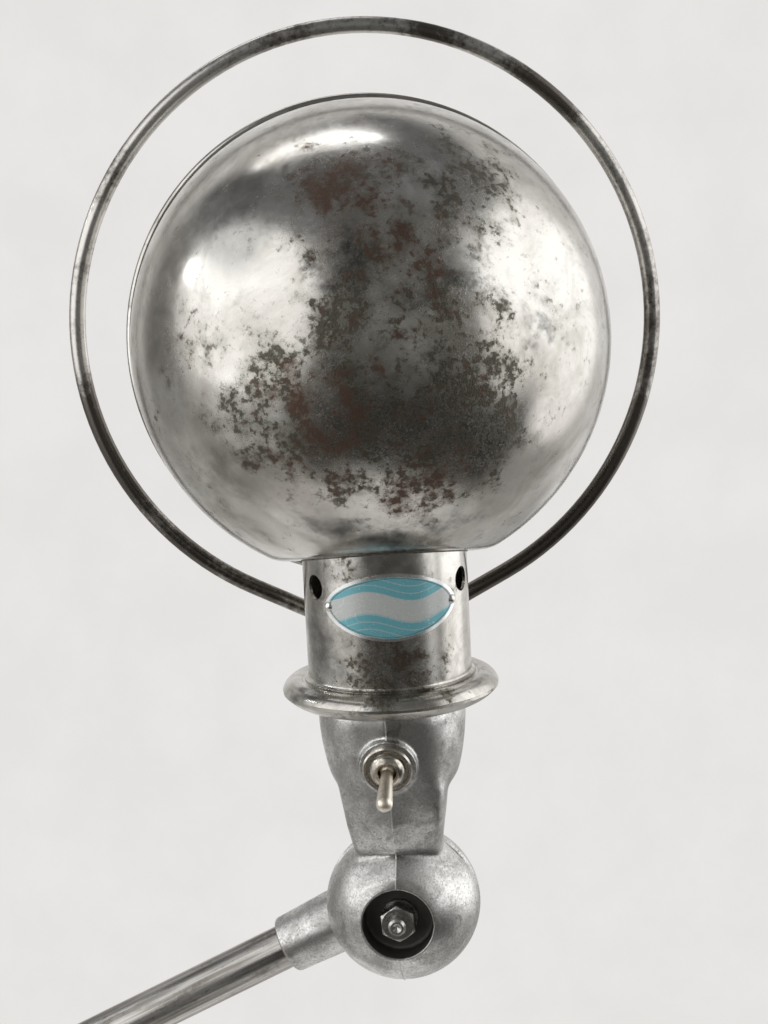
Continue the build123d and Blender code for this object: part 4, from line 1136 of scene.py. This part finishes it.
@dataclass
class Reflector(Piece):
    """Domed reflector: burnished outside, white enamel inside."""

    setback: float = 16.2
    height: float = 193.175
    radius: float = 80.3
    wall: float = 1.0
    flat: float = 72.0

    def centre(self) -> Place:
        """Place at the dome's centre with the head's axes."""
        return self.layout.head().moved(0, self.setback, self.height)

    def outer_finish(self) -> BurnishedSteel:
        """Steel with its patina thick down the middle of the dome, and in a belt below that, and with painted
        shade in soft dark patches.

        Returns:
            The finish.
        """
        return BurnishedSteel("dome_steel", stains=DOME_STAINS, soft_patches=DOME_PAINTED_SHADE)

    def build(self) -> None:
        """Dresses the dome, face by face: steel outside and on the rim, enamel within."""
        centre = self.centre()
        obj = dress("reflector", self.outer_finish().make(centre), self.finishes["white_enamel"])
        drop = math.sqrt(self.radius**2 - self.setback**2)
        flat_out = (centre.y * -self.setback - centre.z * drop).normalized()
        for face in obj.data.polygons:
            ray = (face.center - centre.origin) / MM
            depth = ray.dot(centre.y)
            reach = (ray - centre.y * depth).length if depth > 0 else ray.length
            inside = reach < self.radius - self.wall * 0.5
            on_flat = ray.dot(flat_out) > self.flat - self.wall * 0.5
            face.material_index = 1 if inside and not on_flat and ray.dot(face.normal) < 0 else 0


@dataclass
class Handle(Piece):
    """Wire handle ring and its two nuts."""

    def build(self) -> None:
        """Dresses the rod and the nuts."""
        dress("handle_ring", WireSteel("handle_steel").make(self.layout.head()))
        dress("handle_nuts", self.finishes["bolt_steel"])


@dataclass
class Collar(Piece):
    """Turning collar with its bead, vents, badge and the soldered seam to the dome."""

    radius: float = 27.5
    badge_height: float = 110.9
    badge_half_arc: float = 24.3
    badge_half_height: float = 11.1
    seam_radius: float = 0.45
    seam_steps: int = 96

    def finish(self) -> BurnishedSteel:
        """Collar steel: brighter, with a burnt brown band under the badge, and painted shade on its left side
        and just under the dome.

        Returns:
            The finish.
        """
        return BurnishedSteel(
            "collar_steel",
            cloud_size=22.0,
            blot_size=7.0,
            fleck_size=1.6,
            roughness=0.22,
            dent=0.05,
            rust=(0.085, 0.056, 0.042),
            stains=COLLAR_STAINS,
            soft_patches=COLLAR_PAINTED_SHADE,
        )

    def seam_point(self, angle: float, reflector: Reflector) -> Vector:
        """Point of the seam where the collar meets the dome's flat.

        Args:
            angle: Round the collar from the middle of the badge, in radians.
            reflector: The dome that the collar is soldered to.

        Returns:
            The point in the row frame.
        """
        tilt = math.asin(reflector.setback / reflector.radius)
        x, y = self.radius * math.sin(angle), -self.radius * math.cos(angle)
        drop = (reflector.flat + (y - reflector.setback) * math.sin(tilt)) / math.cos(tilt)
        return self.layout.head().at(x, y, reflector.height - drop)

    def build(self, reflector: Reflector) -> None:
        """Dresses the collar's pieces and adds the seam.

        Args:
            reflector: The dome above the collar.
        """
        head = self.layout.head()
        dress("collar", self.finish().make(head))
        dress("collar_seat_ring", SEAT_STEEL.make(head))
        reach = (self.badge_half_arc, self.badge_half_height)
        dress("badge", PrintedPlate("badge_print", self.radius, self.badge_height, *reach).make(head))
        dress("badge_rivets", self.finishes["rivet_aluminium"])
        turns = [2 * math.pi * i / self.seam_steps for i in range(self.seam_steps)]
        points = [self.seam_point(a, reflector) for a in turns]
        solder = DARK_SOLDER.make(head)
        tube("collar_seam", points, self.seam_radius, solder, "head", closed=True)


def ramp(values: np.ndarray, start: float, span: float) -> np.ndarray:
    """0 up to the start and 1 from a span further on; a span under 0 runs the other way."""
    return np.clip((values - start) / span, 0.0, 1.0)


def tent(across: np.ndarray, half: float) -> np.ndarray:
    """1 in the middle, falling in a curve to 0 at half a width to either side."""
    return np.clip(1.0 - np.abs(across) / half, 0.0, 1.0) ** 2


@dataclass
class Neck(Piece):
    """Cast neck with the switch in its cup, its edges softened and its ridge carried down over the ball."""

    ball_radius: float = 26.6
    well_radius: float = 11.95
    parting_radius: float = 0.22
    voxel: float = 0.56
    passes: int = 95
    ridge_half: float = 15.0
    ridge_rise: float = 1.7
    trunk_half: float = 20.0
    trunk_rise: float = 1.3
    groove: tuple[float, float] = (38.0, 52.0)
    trunk_side: float = 17.0
    seam_radius: float = 0.26
    low_seam: tuple[float, float] = (12.8, 46.0)
    top_seam: tuple[float, float] = (66.0, 73.0)
    parting_arc: tuple[float, float] = (6.0, 62.0)
    front_face: float = -8.0
    give_trunk: float = 0.30
    give_foot: float = 0.35
    give_cup: float = 0.70
    give_ridge: float = 0.05
    slice_half: float = 0.6
    station_half: float = 0.8
    slice_face: float = -5.0
    skin_half: float = 0.6
    heel_depth: float = 4.5
    sight: float = -80.0
    foot: Pair = (32.0, -6.0)
    trunk: Pair = (13.0, 3.0)
    cup: Pair = (33.0, 7.0)
    spigot: Pair = (76.0, -2.5)
    off_ridge: Pair = (0.6, 3.0)
    off_switch: Pair = (10.5, 3.0)
    off_heel: Pair = (11.5, 2.5)
    fold_foot: Pair = (20.0, 4.0)
    fold_top: Pair = (76.0, -6.0)
    fold_switch: Pair = (10.5, 11.0)
    fold_power: float = 1.5
    ridge_well: Pair = (0.2, 3.0)
    ridge_top: Pair = (24.0, -4.0)

    def in_place(self, points: np.ndarray, place: Place) -> np.ndarray:
        """Rows of points of the row frame, in metres, as millimetres in a place."""
        axes = np.array((place.x, place.y, place.z))
        return (points - np.array(place.origin)) @ axes.T / MM

    def from_switch(self, at: np.ndarray) -> np.ndarray:
        """Distance of points from the switch's pivot as seen from the front, in millimetres."""
        pivot = self.in_place(np.array([joint("switch")["pos_m"]]), self.layout.neck())[0]
        return np.hypot(at[:, 0] - pivot[0], at[:, 2] - pivot[2])

    def stations(self) -> np.ndarray:
        """A place at each millimetre from side to side of the trunk."""
        return np.arange(-self.trunk_side, self.trunk_side + 0.1, 1.0)

    def softness(self, at: np.ndarray) -> np.ndarray:
        """How far each point gives way when the edges are softened: most on the cup, least on the ridge.

        Args:
            at: Points in the neck's millimetres, a row each.

        Returns:
            A share of 0 to 1 for each point.
        """
        across, back, up = at.T
        foot = ramp(up, *self.foot) * self.give_foot
        trunk = ramp(up, *self.trunk) * (self.give_trunk + foot)
        cup = ramp(up, *self.cup) * self.give_cup
        fade = ramp(up, *self.spigot)
        on_ridge = np.maximum(ramp(np.abs(across), *self.off_ridge), self.give_ridge)
        front = back < self.front_face
        share = (trunk + cup) * fade * np.where(front, on_ridge, 1.0)
        keep = ramp(self.from_switch(at), *self.off_switch)
        return share * np.where(front, keep, 1.0)

    def front(self, at: np.ndarray, height: float) -> np.ndarray:
        """Where the casting's front lies along y at one height.

        Args:
            at: Points in the neck's millimetres, a row each.
            height: Height over the ball's centre, in millimetres.

        Returns:
            A place along y for each station across.
        """
        across, back, up = at.T
        ring = (np.abs(up - height) < self.slice_half) & (back < self.slice_face)
        near = (ring & (np.abs(across - x) < self.station_half) for x in self.stations())
        return np.array([back[chosen].min(initial=0.0) for chosen in near])

    def fill(self, at: np.ndarray) -> np.ndarray:
        """Runs the front of the trunk evenly into the front of the cup, over the cup's heel.

        Args:
            at: Points in the neck's millimetres, a row each.

        Returns:
            How far each point moves along the neck's y axis.
        """
        across, back, up = at.T
        low, high = self.groove
        share = ramp(up, low, high - low)
        below, above = (np.interp(across, self.stations(), self.front(at, y)) for y in self.groove)
        face = below * (1.0 - share) + above * share
        inside = (up > low) & (up < high) & (np.abs(across) < self.trunk_side)
        inside &= back < face + self.heel_depth
        sides = ramp(np.abs(across), *self.off_heel)
        return np.where(inside, (face - back) * sides, 0.0)

    def soften(self, points: np.ndarray, edges: np.ndarray, share: np.ndarray) -> np.ndarray:
        """Moves each point towards the middle of its neighbours, again and again.

        Args:
            points: Positions, a row each.
            edges: Pairs of neighbours.
            share: How far each point moves at each pass.

        Returns:
            The softened positions.
        """
        count = np.bincount(edges.ravel(), minlength=len(points))[:, None]
        for _ in range(self.passes):
            total = np.zeros_like(points)
            for axis in range(3):
                total[:, axis] += np.bincount(edges[:, 0], points[edges[:, 1], axis], len(points))
                total[:, axis] += np.bincount(edges[:, 1], points[edges[:, 0], axis], len(points))
            points = points + (total / count - points) * share[:, None] * 0.5
        return points

    def fold(self, at: np.ndarray) -> np.ndarray:
        """Rise of the ridge on the flat front of the trunk.

        Args:
            at: Points in the neck's millimetres, a row each.

        Returns:
            Millimetres towards the front.
        """
        across, back, up = at.T
        rise = self.trunk_rise * tent(across, self.trunk_half)
        rise = rise * ramp(up, *self.fold_foot) * ramp(up, *self.fold_top)
        rise = rise * ramp(self.from_switch(at), *self.fold_switch) ** self.fold_power
        return np.where(back < self.front_face, rise, 0.0)

    def ridge(self, at: np.ndarray) -> np.ndarray:
        """Rise of the ridge on the front of the ball.

        Args:
            at: Points in the neck's millimetres, a row each.

        Returns:
            Millimetres along each point's ray from the ball's centre.
        """
        across, back, up = at.T
        from_centre = np.linalg.norm(at, axis=1)
        skin = (np.abs(from_centre - self.ball_radius) < self.skin_half) & (back < 0) & (up > 0)
        edge = ramp(np.hypot(across, up) - self.well_radius, *self.ridge_well)
        top = ramp(up, *self.ridge_top)
        return np.where(skin, self.ridge_rise * tent(across, self.ridge_half) * edge * top, 0.0)

    def drop_specks(self, mesh: bpy.types.Mesh) -> None:
        """Leaves only the largest connected skin of a mesh, so that no loose speck of the grid stays in it.

        Args:
            mesh: The mesh, changed in place.
        """
        shape = bmesh.new()
        shape.from_mesh(mesh)
        left = set(shape.verts)
        skins: list[set[bmesh.types.BMVert]] = []
        while left:
            skin, edge = set(), [next(iter(left))]
            while edge:
                vert = edge.pop()
                if vert not in skin:
                    skin.add(vert)
                    edge.extend(link.other_vert(vert) for link in vert.link_edges)
            left -= skin
            skins.append(skin)
        largest = max(skins, key=len)
        specks = [vert for skin in skins if skin is not largest for vert in skin]
        log.info("neck_cast_body: %d loose points dropped", len(specks))
        bmesh.ops.delete(shape, geom=specks, context="VERTS")
        shape.to_mesh(mesh)
        shape.free()

    def casting(self, material: bpy.types.Material) -> bpy.types.Object:
        """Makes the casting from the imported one, with soft edges and the ridge, in the same place.

        Args:
            material: Its finish.

        Returns:
            The new piece.
        """
        packed = frame["nodes"]["neck_casting"]
        source = bpy.data.objects.new("neck_source", packed.data.copy())
        bpy.context.scene.collection.objects.link(source)
        grid = source.modifiers.new("grid", "REMESH")
        grid.mode = "VOXEL"
        grid.voxel_size = self.voxel * MM
        ready = source.evaluated_get(bpy.context.evaluated_depsgraph_get())
        mesh = bpy.data.meshes.new_from_object(ready)
        bpy.data.objects.remove(source)
        self.drop_specks(mesh)
        points = np.empty(len(mesh.vertices) * 3)
        mesh.vertices.foreach_get("co", points)
        edges = np.empty(len(mesh.edges) * 2, dtype=np.int64)
        mesh.edges.foreach_get("vertices", edges)
        points = points.reshape(-1, 3)
        place = self.layout.neck()
        at = self.in_place(points, place)
        axes = np.array((place.x, place.y, place.z))
        points = points + self.fill(at)[:, None] * axes[1] * MM
        points = self.soften(points, edges.reshape(-1, 2), self.softness(at))
        at = self.in_place(points, place)
        outward = at / np.maximum(np.linalg.norm(at, axis=1), 1e-6)[:, None]
        rise = outward * self.ridge(at)[:, None]
        rise[:, 1] -= self.fold(at)
        points = points + rise @ axes * MM
        mesh.vertices.foreach_set("co", points.ravel())
        mesh.polygons.foreach_set("use_smooth", [True] * len(mesh.polygons))
        mesh.materials.clear()
        mesh.materials.append(material)
        mesh.update()
        obj = bpy.data.objects.new("neck_cast_body", mesh)
        bpy.context.scene.collection.objects.link(obj)
        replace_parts(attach(obj, "neck"), "neck_casting")
        log.info("made %s with %d faces", obj.name, len(mesh.polygons))
        return obj

    def arc(self, start: float, end: float, steps: int = 24) -> list[Vector]:
        """Points on the front half ball in its middle plane.

        Args:
            start: Angle from straight down, towards the front, in degrees.
            end: Angle where the line ends.
            steps: Number of spans.

        Returns:
            Points in the row frame.
        """
        neck = self.layout.neck()
        angles = [math.radians(start + (end - start) * i / steps) for i in range(steps + 1)]
        return [neck.at(0, -self.ball_radius * math.sin(a), -self.ball_radius * math.cos(a)) for a in angles]

    def seam(self, body: bpy.types.Object, low: float, high: float) -> list[Vector]:
        """Points down the front of the casting in its middle plane, found by looking straight at it.

        Args:
            body: The casting.
            low: Height of the lowest point over the ball's centre, in millimetres.
            high: Height of the highest point.

        Returns:
            Points in the row frame.
        """
        neck = self.layout.neck()
        points = []
        for step in range(int(high - low) + 1):
            hit, point, _, _ = body.ray_cast(neck.at(0, self.sight, low + step), neck.y)
            if hit:
                points.append(point)
        return points

    def build(self) -> None:
        """Makes the casting and the lines along its ridge and ball, and dresses the switch."""
        neck = self.layout.neck()
        cast = CastMetal("neck_cast", wells=(self.layout.ball("head_tilt"),)).make(neck)
        body = self.casting(cast)
        bpy.context.view_layer.update()
        rubbed = RUBBED_CAST.make(neck)
        for name, points, radius, material in (
            ("neck_ridge_low", self.seam(body, *self.low_seam), self.seam_radius, rubbed),
            ("neck_ridge_top", self.seam(body, *self.top_seam), self.seam_radius, rubbed),
            ("neck_parting_line", self.arc(*self.parting_arc), self.parting_radius, cast),
        ):
            tube(name, points, radius, material, "neck")
        table = {
            "worn_nickel": ("bushing", "bezel"),
            "rubbed_nickel": ("lever",),
            "dark_phenolic": ("body",),
        }
        self.dress_all(table, "switch_")


@dataclass
class Lampholder(Piece):
    """Porcelain lampholder, its plate and the bulb."""

    def build(self) -> None:
        """Dresses the lampholder's pieces."""
        table = {
            "zinc_sheet": ("lampholder_plate",),
            "bolt_steel": ("lampholder_plate_screws", "lampholder_screws"),
            "white_porcelain": ("lampholder",),
            "brass": ("lampholder_shell", "lampholder_contact"),
            "bulb_cap_metal": ("bulb_cap",),
        }
        self.dress_all(table)
        dress("bulb_glass", OpalGlass("opal_glass").make(self.layout.neck()))


@dataclass
class BallJoint(Piece):
    """Bolt, nut, washers, contact discs and brushes of one ball joint."""

    name: str

    def build(self) -> None:
        """Dresses the joint's pieces."""
        table = {
            "bolt_steel": ("bolt", "nut", "washers"),
            "red_fibre": ("contact_disc", "brush_disc"),
            "copper": ("contact_tracks", "brushes"),
        }
        self.dress_all(table, self.name + "_")


@dataclass
class Arm(Piece):
    """One tube arm with its two cast sockets."""

    name: str
    start: str
    end: str
    side: float

    def build(self) -> None:
        """Dresses the tube, the sockets and the lead."""
        place = self.layout.arm(self.start, self.end, self.side)
        dress(f"{self.name}_tube", DrawnSteel(f"{self.name}_tube_steel").make(place))
        wells = (self.layout.ball(self.start), self.layout.ball(self.end))
        cast = CastMetal(f"{self.name}_cast", wells=wells).make(place)
        for end in ("bottom", "top"):
            dress(f"{self.name}_{end}_socket", cast)
        dress(f"{self.name}_lead", self.finishes["lead_sheath"])


@dataclass
class Base(Piece):
    """Cast base with the swivel stem."""

    def build(self) -> None:
        """Dresses the base's pieces."""
        origin = Place(Vector((0, 0, 0)), Vector((1, 0, 0)), Vector((0, 1, 0)), Vector((0, 0, 1)))
        dress("base_casting", BASE_IRON.make(origin))
        dress("stem_casting", CastMetal("stem_cast", wells=(self.layout.ball("shoulder"),)).make(origin))
        swivel = ("swivel_stop_screw", "swivel_spring_washer", "swivel_nut")
        table = {
            "black_rubber": ("base_pad", "cable_grommet"),
            "zinc_sheet": ("base_bottom_plate",),
            "bolt_steel": ("base_plate_screws", *swivel),
            "white_porcelain": ("terminal_block",),
            "red_fibre": ("swivel_thrust_washer",),
        }
        self.dress_all(table)


# ---------------------------------------------------------------- studio
@dataclass(frozen=True)
class Panel:
    """One soft oval light: where it is seen from the dome, how wide and high it looks, how bright it is."""

    name: str
    azimuth: float
    elevation: float
    distance: float
    half_width: float
    half_height: float
    radiance: float
    roll: float = 0.0
    in_metal: bool = True

    def size(self) -> tuple[float, float]:
        """Width and height in metres."""
        halves = (self.half_width, self.half_height)
        return tuple(2.0 * self.distance * math.tan(math.radians(half)) for half in halves)


@dataclass(frozen=True)
class Cloth:
    """One dark or grey cloth round the set, as the metal sees it: where it hangs, its reach and its tone."""

    name: str
    azimuth: tuple[float, float]
    elevation: tuple[float, float]
    distance: float
    tone: Rgb
    edge: float = 9.0
    steps: int = 24
    pole: float = 89.0
    folds: Grain = (0.35, 3.0, 0.6)
    fold_band: Band = (0.3, 0.7, 0.75, 1.25)
    sway: float = 1.5
    crisp: float = 0.05

    def mesh(self) -> bpy.types.Mesh:
        """Patch of a sphere as wide and as high as the cloth.

        Returns:
            The mesh, about the origin.
        """
        made = bpy.data.meshes.new(self.name)
        points, faces = [], []
        left, right = self.azimuth
        low, high = max(-self.pole, self.elevation[0]), min(self.pole, self.elevation[1])
        for i in range(self.steps + 1):
            for j in range(self.steps + 1):
                around, above = left + (right - left) * j / self.steps, low + (high - low) * i / self.steps
                points.append(direction(around, above) * self.distance)
                if i and j:
                    k = len(points) - 1
                    faces.append((k, k - 1, k - self.steps - 2, k - self.steps - 1))
        made.from_pydata(points, [], faces)
        return made

    def finish(self) -> bpy.types.Material:
        """Plain tone that fades out at the cloth's edges, with a slow unevenness like folds.

        Returns:
            The material.
        """
        g = Graph(self.name)
        unit = g.vector("NORMALIZE", g.node("ShaderNodeTexCoord").outputs["Object"])
        x, y, z = g.axes(unit)
        folds = g.noise(unit, *self.folds)
        soft = math.radians(self.edge)
        sway = g.times(g.centred(folds), soft * self.sway)
        around = g.plus(g.math("ARCTAN2", x, g.times(y, -1.0)), sway)
        above = g.plus(g.math("ARCSINE", z), sway)
        cover: object = 1.0
        for value, (low, high) in ((around, self.azimuth), (above, self.elevation)):
            middle, half = math.radians((low + high) / 2), math.radians((high - low) / 2)
            away = g.size(g.math("SUBTRACT", value, middle))
            cover = g.times(cover, g.step(away, half - soft, half - soft * self.crisp, 1.0, 0.0))
        shade = g.step(folds, *self.fold_band)
        plain = g.node("ShaderNodeEmission", {"Color": self.tone, "Strength": shade})
        g.close(g.layer(cover, g.node("ShaderNodeBsdfTransparent"), plain))
        return g.owner

    def hang(self, target: Vector) -> None:
        """Hangs the cloth about a point, out of the camera's sight and casting no shadow.

        Args:
            target: That point, in metres.
        """
        obj = bpy.data.objects.new(self.name, self.mesh())
        obj.data.materials.append(self.finish())
        obj.location = target
        obj.visible_camera = False
        obj.visible_shadow = False
        bpy.context.scene.collection.objects.link(obj)


@dataclass
class Studio:
    """Camera, floor, surround, lights and cloths."""

    layout: Layout
    camera_at: Rgb = (57.47, -682.43, 255.33)
    camera_yaw: float = 5.38
    camera_pitch: float = -9.84
    lens: float = 72.93
    sensor: float = 36.0
    floor_radius: float = 1.1
    floor_drop: float = 0.0004
    floor_lift: float = 0.30
    floor_fade: Pair = (0.5, 0.98)
    floor_tone: Rgb = (0.78, 0.765, 0.75)
    room_light: float = 0.55
    wall: Grain = (0.05, 5.0, 0.6)
    wall_band: Band = (0.3, 0.7, 0.975, 1.02)
    backdrop: Rgb = (0.80, 0.785, 0.77)
    panels: tuple[Panel, ...] = (
        Panel("left_window", -58.0, 16.0, 1.5, 42.0, 32.0, 0.80),
        Panel("right_window", 97.0, 7.0, 1.5, 40.0, 41.0, 0.79),
        Panel("back_window", 180.0, 12.0, 1.7, 38.0, 34.0, 0.95, in_metal=False),
        Panel("top_strip", -143.0, 62.0, 1.4, 19.0, 6.5, 2.7, roll=-42.0),
        Panel("hot_lamp", -95.0, 20.0, 1.3, 1.2, 1.2, 62.0),
    )
    cloths: tuple[Cloth, ...] = (
        Cloth("front_cloth", (-30.0, 68.0), (-72.0, 80.0), 2.2, (0.15, 0.148, 0.14), 13.0),
        Cloth("roof_cloth", (-190.0, 190.0), (42.0, 130.0), 2.4, (0.19, 0.19, 0.195), 9.0),
        Cloth("grey_card", (20.0, 54.0), (-8.0, 26.0), 2.1, (0.27, 0.268, 0.25), 12.0),
        Cloth("left_cloth", (-160.0, -112.0), (-60.0, 32.0), 2.3, (0.58, 0.565, 0.545), 10.0),
        Cloth("left_near_cloth", (-130.0, -84.0), (-50.0, 32.0), 2.2, (0.26, 0.255, 0.245), 9.0),
        Cloth("left_high_cloth", (-134.0, -56.0), (22.0, 62.0), 2.1, (0.15, 0.15, 0.155), 9.0),
        Cloth("low_cloth", (-40.0, 92.0), (-63.0, -8.0), 0.62, (0.045, 0.042, 0.038), 14.0),
        Cloth("low_left_cloth", (-150.0, -20.0), (-63.0, -16.0), 0.93, (0.42, 0.41, 0.39), 12.0),
        Cloth("low_right_cloth", (70.0, 200.0), (-80.0, -24.0), 0.66, (0.50, 0.49, 0.475), 12.0),
    )

    def camera(self) -> None:
        """Makes the camera."""
        data = bpy.data.cameras.new("camera")
        data.lens = self.lens
        data.sensor_width = self.sensor
        cam = bpy.data.objects.new("camera", data)
        cam.location = self.layout.ball("head_tilt") + Vector(self.camera_at) * MM
        cam.rotation_euler = (math.radians(90.0 + self.camera_pitch), 0.0, math.radians(self.camera_yaw))
        bpy.context.scene.collection.objects.link(cam)
        bpy.context.scene.camera = cam

    def seen(self, g: Graph) -> Socket:
        """Tells the rays that show a thing, straight or in metal or glass, from those that gather its light.

        Args:
            g: The node tree.

        Returns:
            1 on the first and 0 on the others.
        """
        path = g.node("ShaderNodeLightPath")
        shown: object = 0.0
        for name in ("Is Camera Ray", "Is Glossy Ray", "Is Transmission Ray"):
            shown = g.most(shown, path.outputs[name])
        return shown

    def floor(self) -> None:
        """Makes a pale floor disc that fades out at its edge."""
        mesh = bpy.data.meshes.new("floor")
        shape = bmesh.new()
        bmesh.ops.create_circle(shape, cap_ends=True, segments=96, radius=self.floor_radius)
        shape.to_mesh(mesh)
        shape.free()
        obj = bpy.data.objects.new("floor", mesh)
        obj.location.z = -self.floor_drop
        bpy.context.scene.collection.objects.link(obj)
        g = Graph("pale_floor")
        away = g.vector("LENGTH", g.node("ShaderNodeTexCoord").outputs["Object"])
        fade = g.step(away, *(self.floor_radius * share for share in self.floor_fade))
        glow = g.times(self.seen(g), self.floor_lift)
        matt = g.node("ShaderNodeBsdfDiffuse", {"Color": self.floor_tone})
        lift = g.node("ShaderNodeEmission", {"Color": self.backdrop, "Strength": glow})
        paper = g.node("ShaderNodeAddShader", {0: matt.outputs[0], 1: lift.outputs[0]})
        g.close(g.layer(fade, paper, g.node("ShaderNodeBsdfTransparent")))
        mesh.materials.append(g.owner)

    def surround(self) -> None:
        """Makes a plain pale surround, in full tone to the eye and dimmer in the light that it gives."""
        world = bpy.data.worlds.new("room")
        bpy.context.scene.world = world
        g = Graph("room", world)
        ray = g.node("ShaderNodeTexCoord").outputs["Generated"]
        wall = g.step(g.noise(ray, *self.wall), *self.wall_band)
        seen = g.node("ShaderNodeBackground", {"Color": self.backdrop, "Strength": wall})
        lit = g.node("ShaderNodeBackground", {"Color": self.backdrop, "Strength": self.room_light})
        g.close(g.layer(self.seen(g), lit, seen), "World")

    def light(self, panel: Panel, target: Vector) -> None:
        """Makes one soft light that faces the target.

        Args:
            panel: What to make.
            target: Point that it faces, in metres.
        """
        data = bpy.data.lights.new(panel.name, "AREA")
        data.shape = "ELLIPSE"
        width, height = panel.size()
        data.size, data.size_y = width, height
        face = width * height * (math.pi / 4)
        data.energy = panel.radiance * math.pi * face
        away = direction(panel.azimuth, panel.elevation)
        obj = bpy.data.objects.new(panel.name, data)
        obj.location = target + away * panel.distance
        rolled = Quaternion((0.0, 0.0, 1.0), math.radians(panel.roll))
        obj.rotation_euler = (away.to_track_quat("Z", "Y") @ rolled).to_euler()
        obj.visible_camera = False
        obj.visible_glossy = panel.in_metal
        bpy.context.scene.collection.objects.link(obj)

    def build(self, target: Vector) -> None:
        """Makes the whole studio.

        Args:
            target: Point that the lights face, in metres.
        """
        self.camera()
        self.floor()
        self.surround()
        for panel in self.panels:
            self.light(panel, target)
            log.info("light %s", panel.name)
        for cloth in self.cloths:
            cloth.hang(target)
            log.info("cloth %s", cloth.name)
        bpy.context.scene.view_settings.view_transform = "Standard"


def main() -> None:
    """Builds the studio, then dresses the lamp from the head down to the base."""
    logging.basicConfig(level=logging.INFO, format="%(name)s: %(message)s")
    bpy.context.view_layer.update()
    layout = Layout()
    finishes = Finishes(layout)
    finishes.build()
    reflector = Reflector(layout, finishes)
    Studio(layout).build(reflector.centre().origin)
    reflector.build()
    Handle(layout, finishes).build()
    Collar(layout, finishes).build(reflector)
    Neck(layout, finishes).build()
    Lampholder(layout, finishes).build()
    for name in ("head", "elbow", "shoulder"):
        BallJoint(layout, finishes, name).build()
    Arm(layout, finishes, "upper_arm", "elbow", "head_tilt", 1.0).build()
    Arm(layout, finishes, "lower_arm", "shoulder", "elbow", -1.0).build()
    Base(layout, finishes).build()


if __name__ == "__main__":
    main()
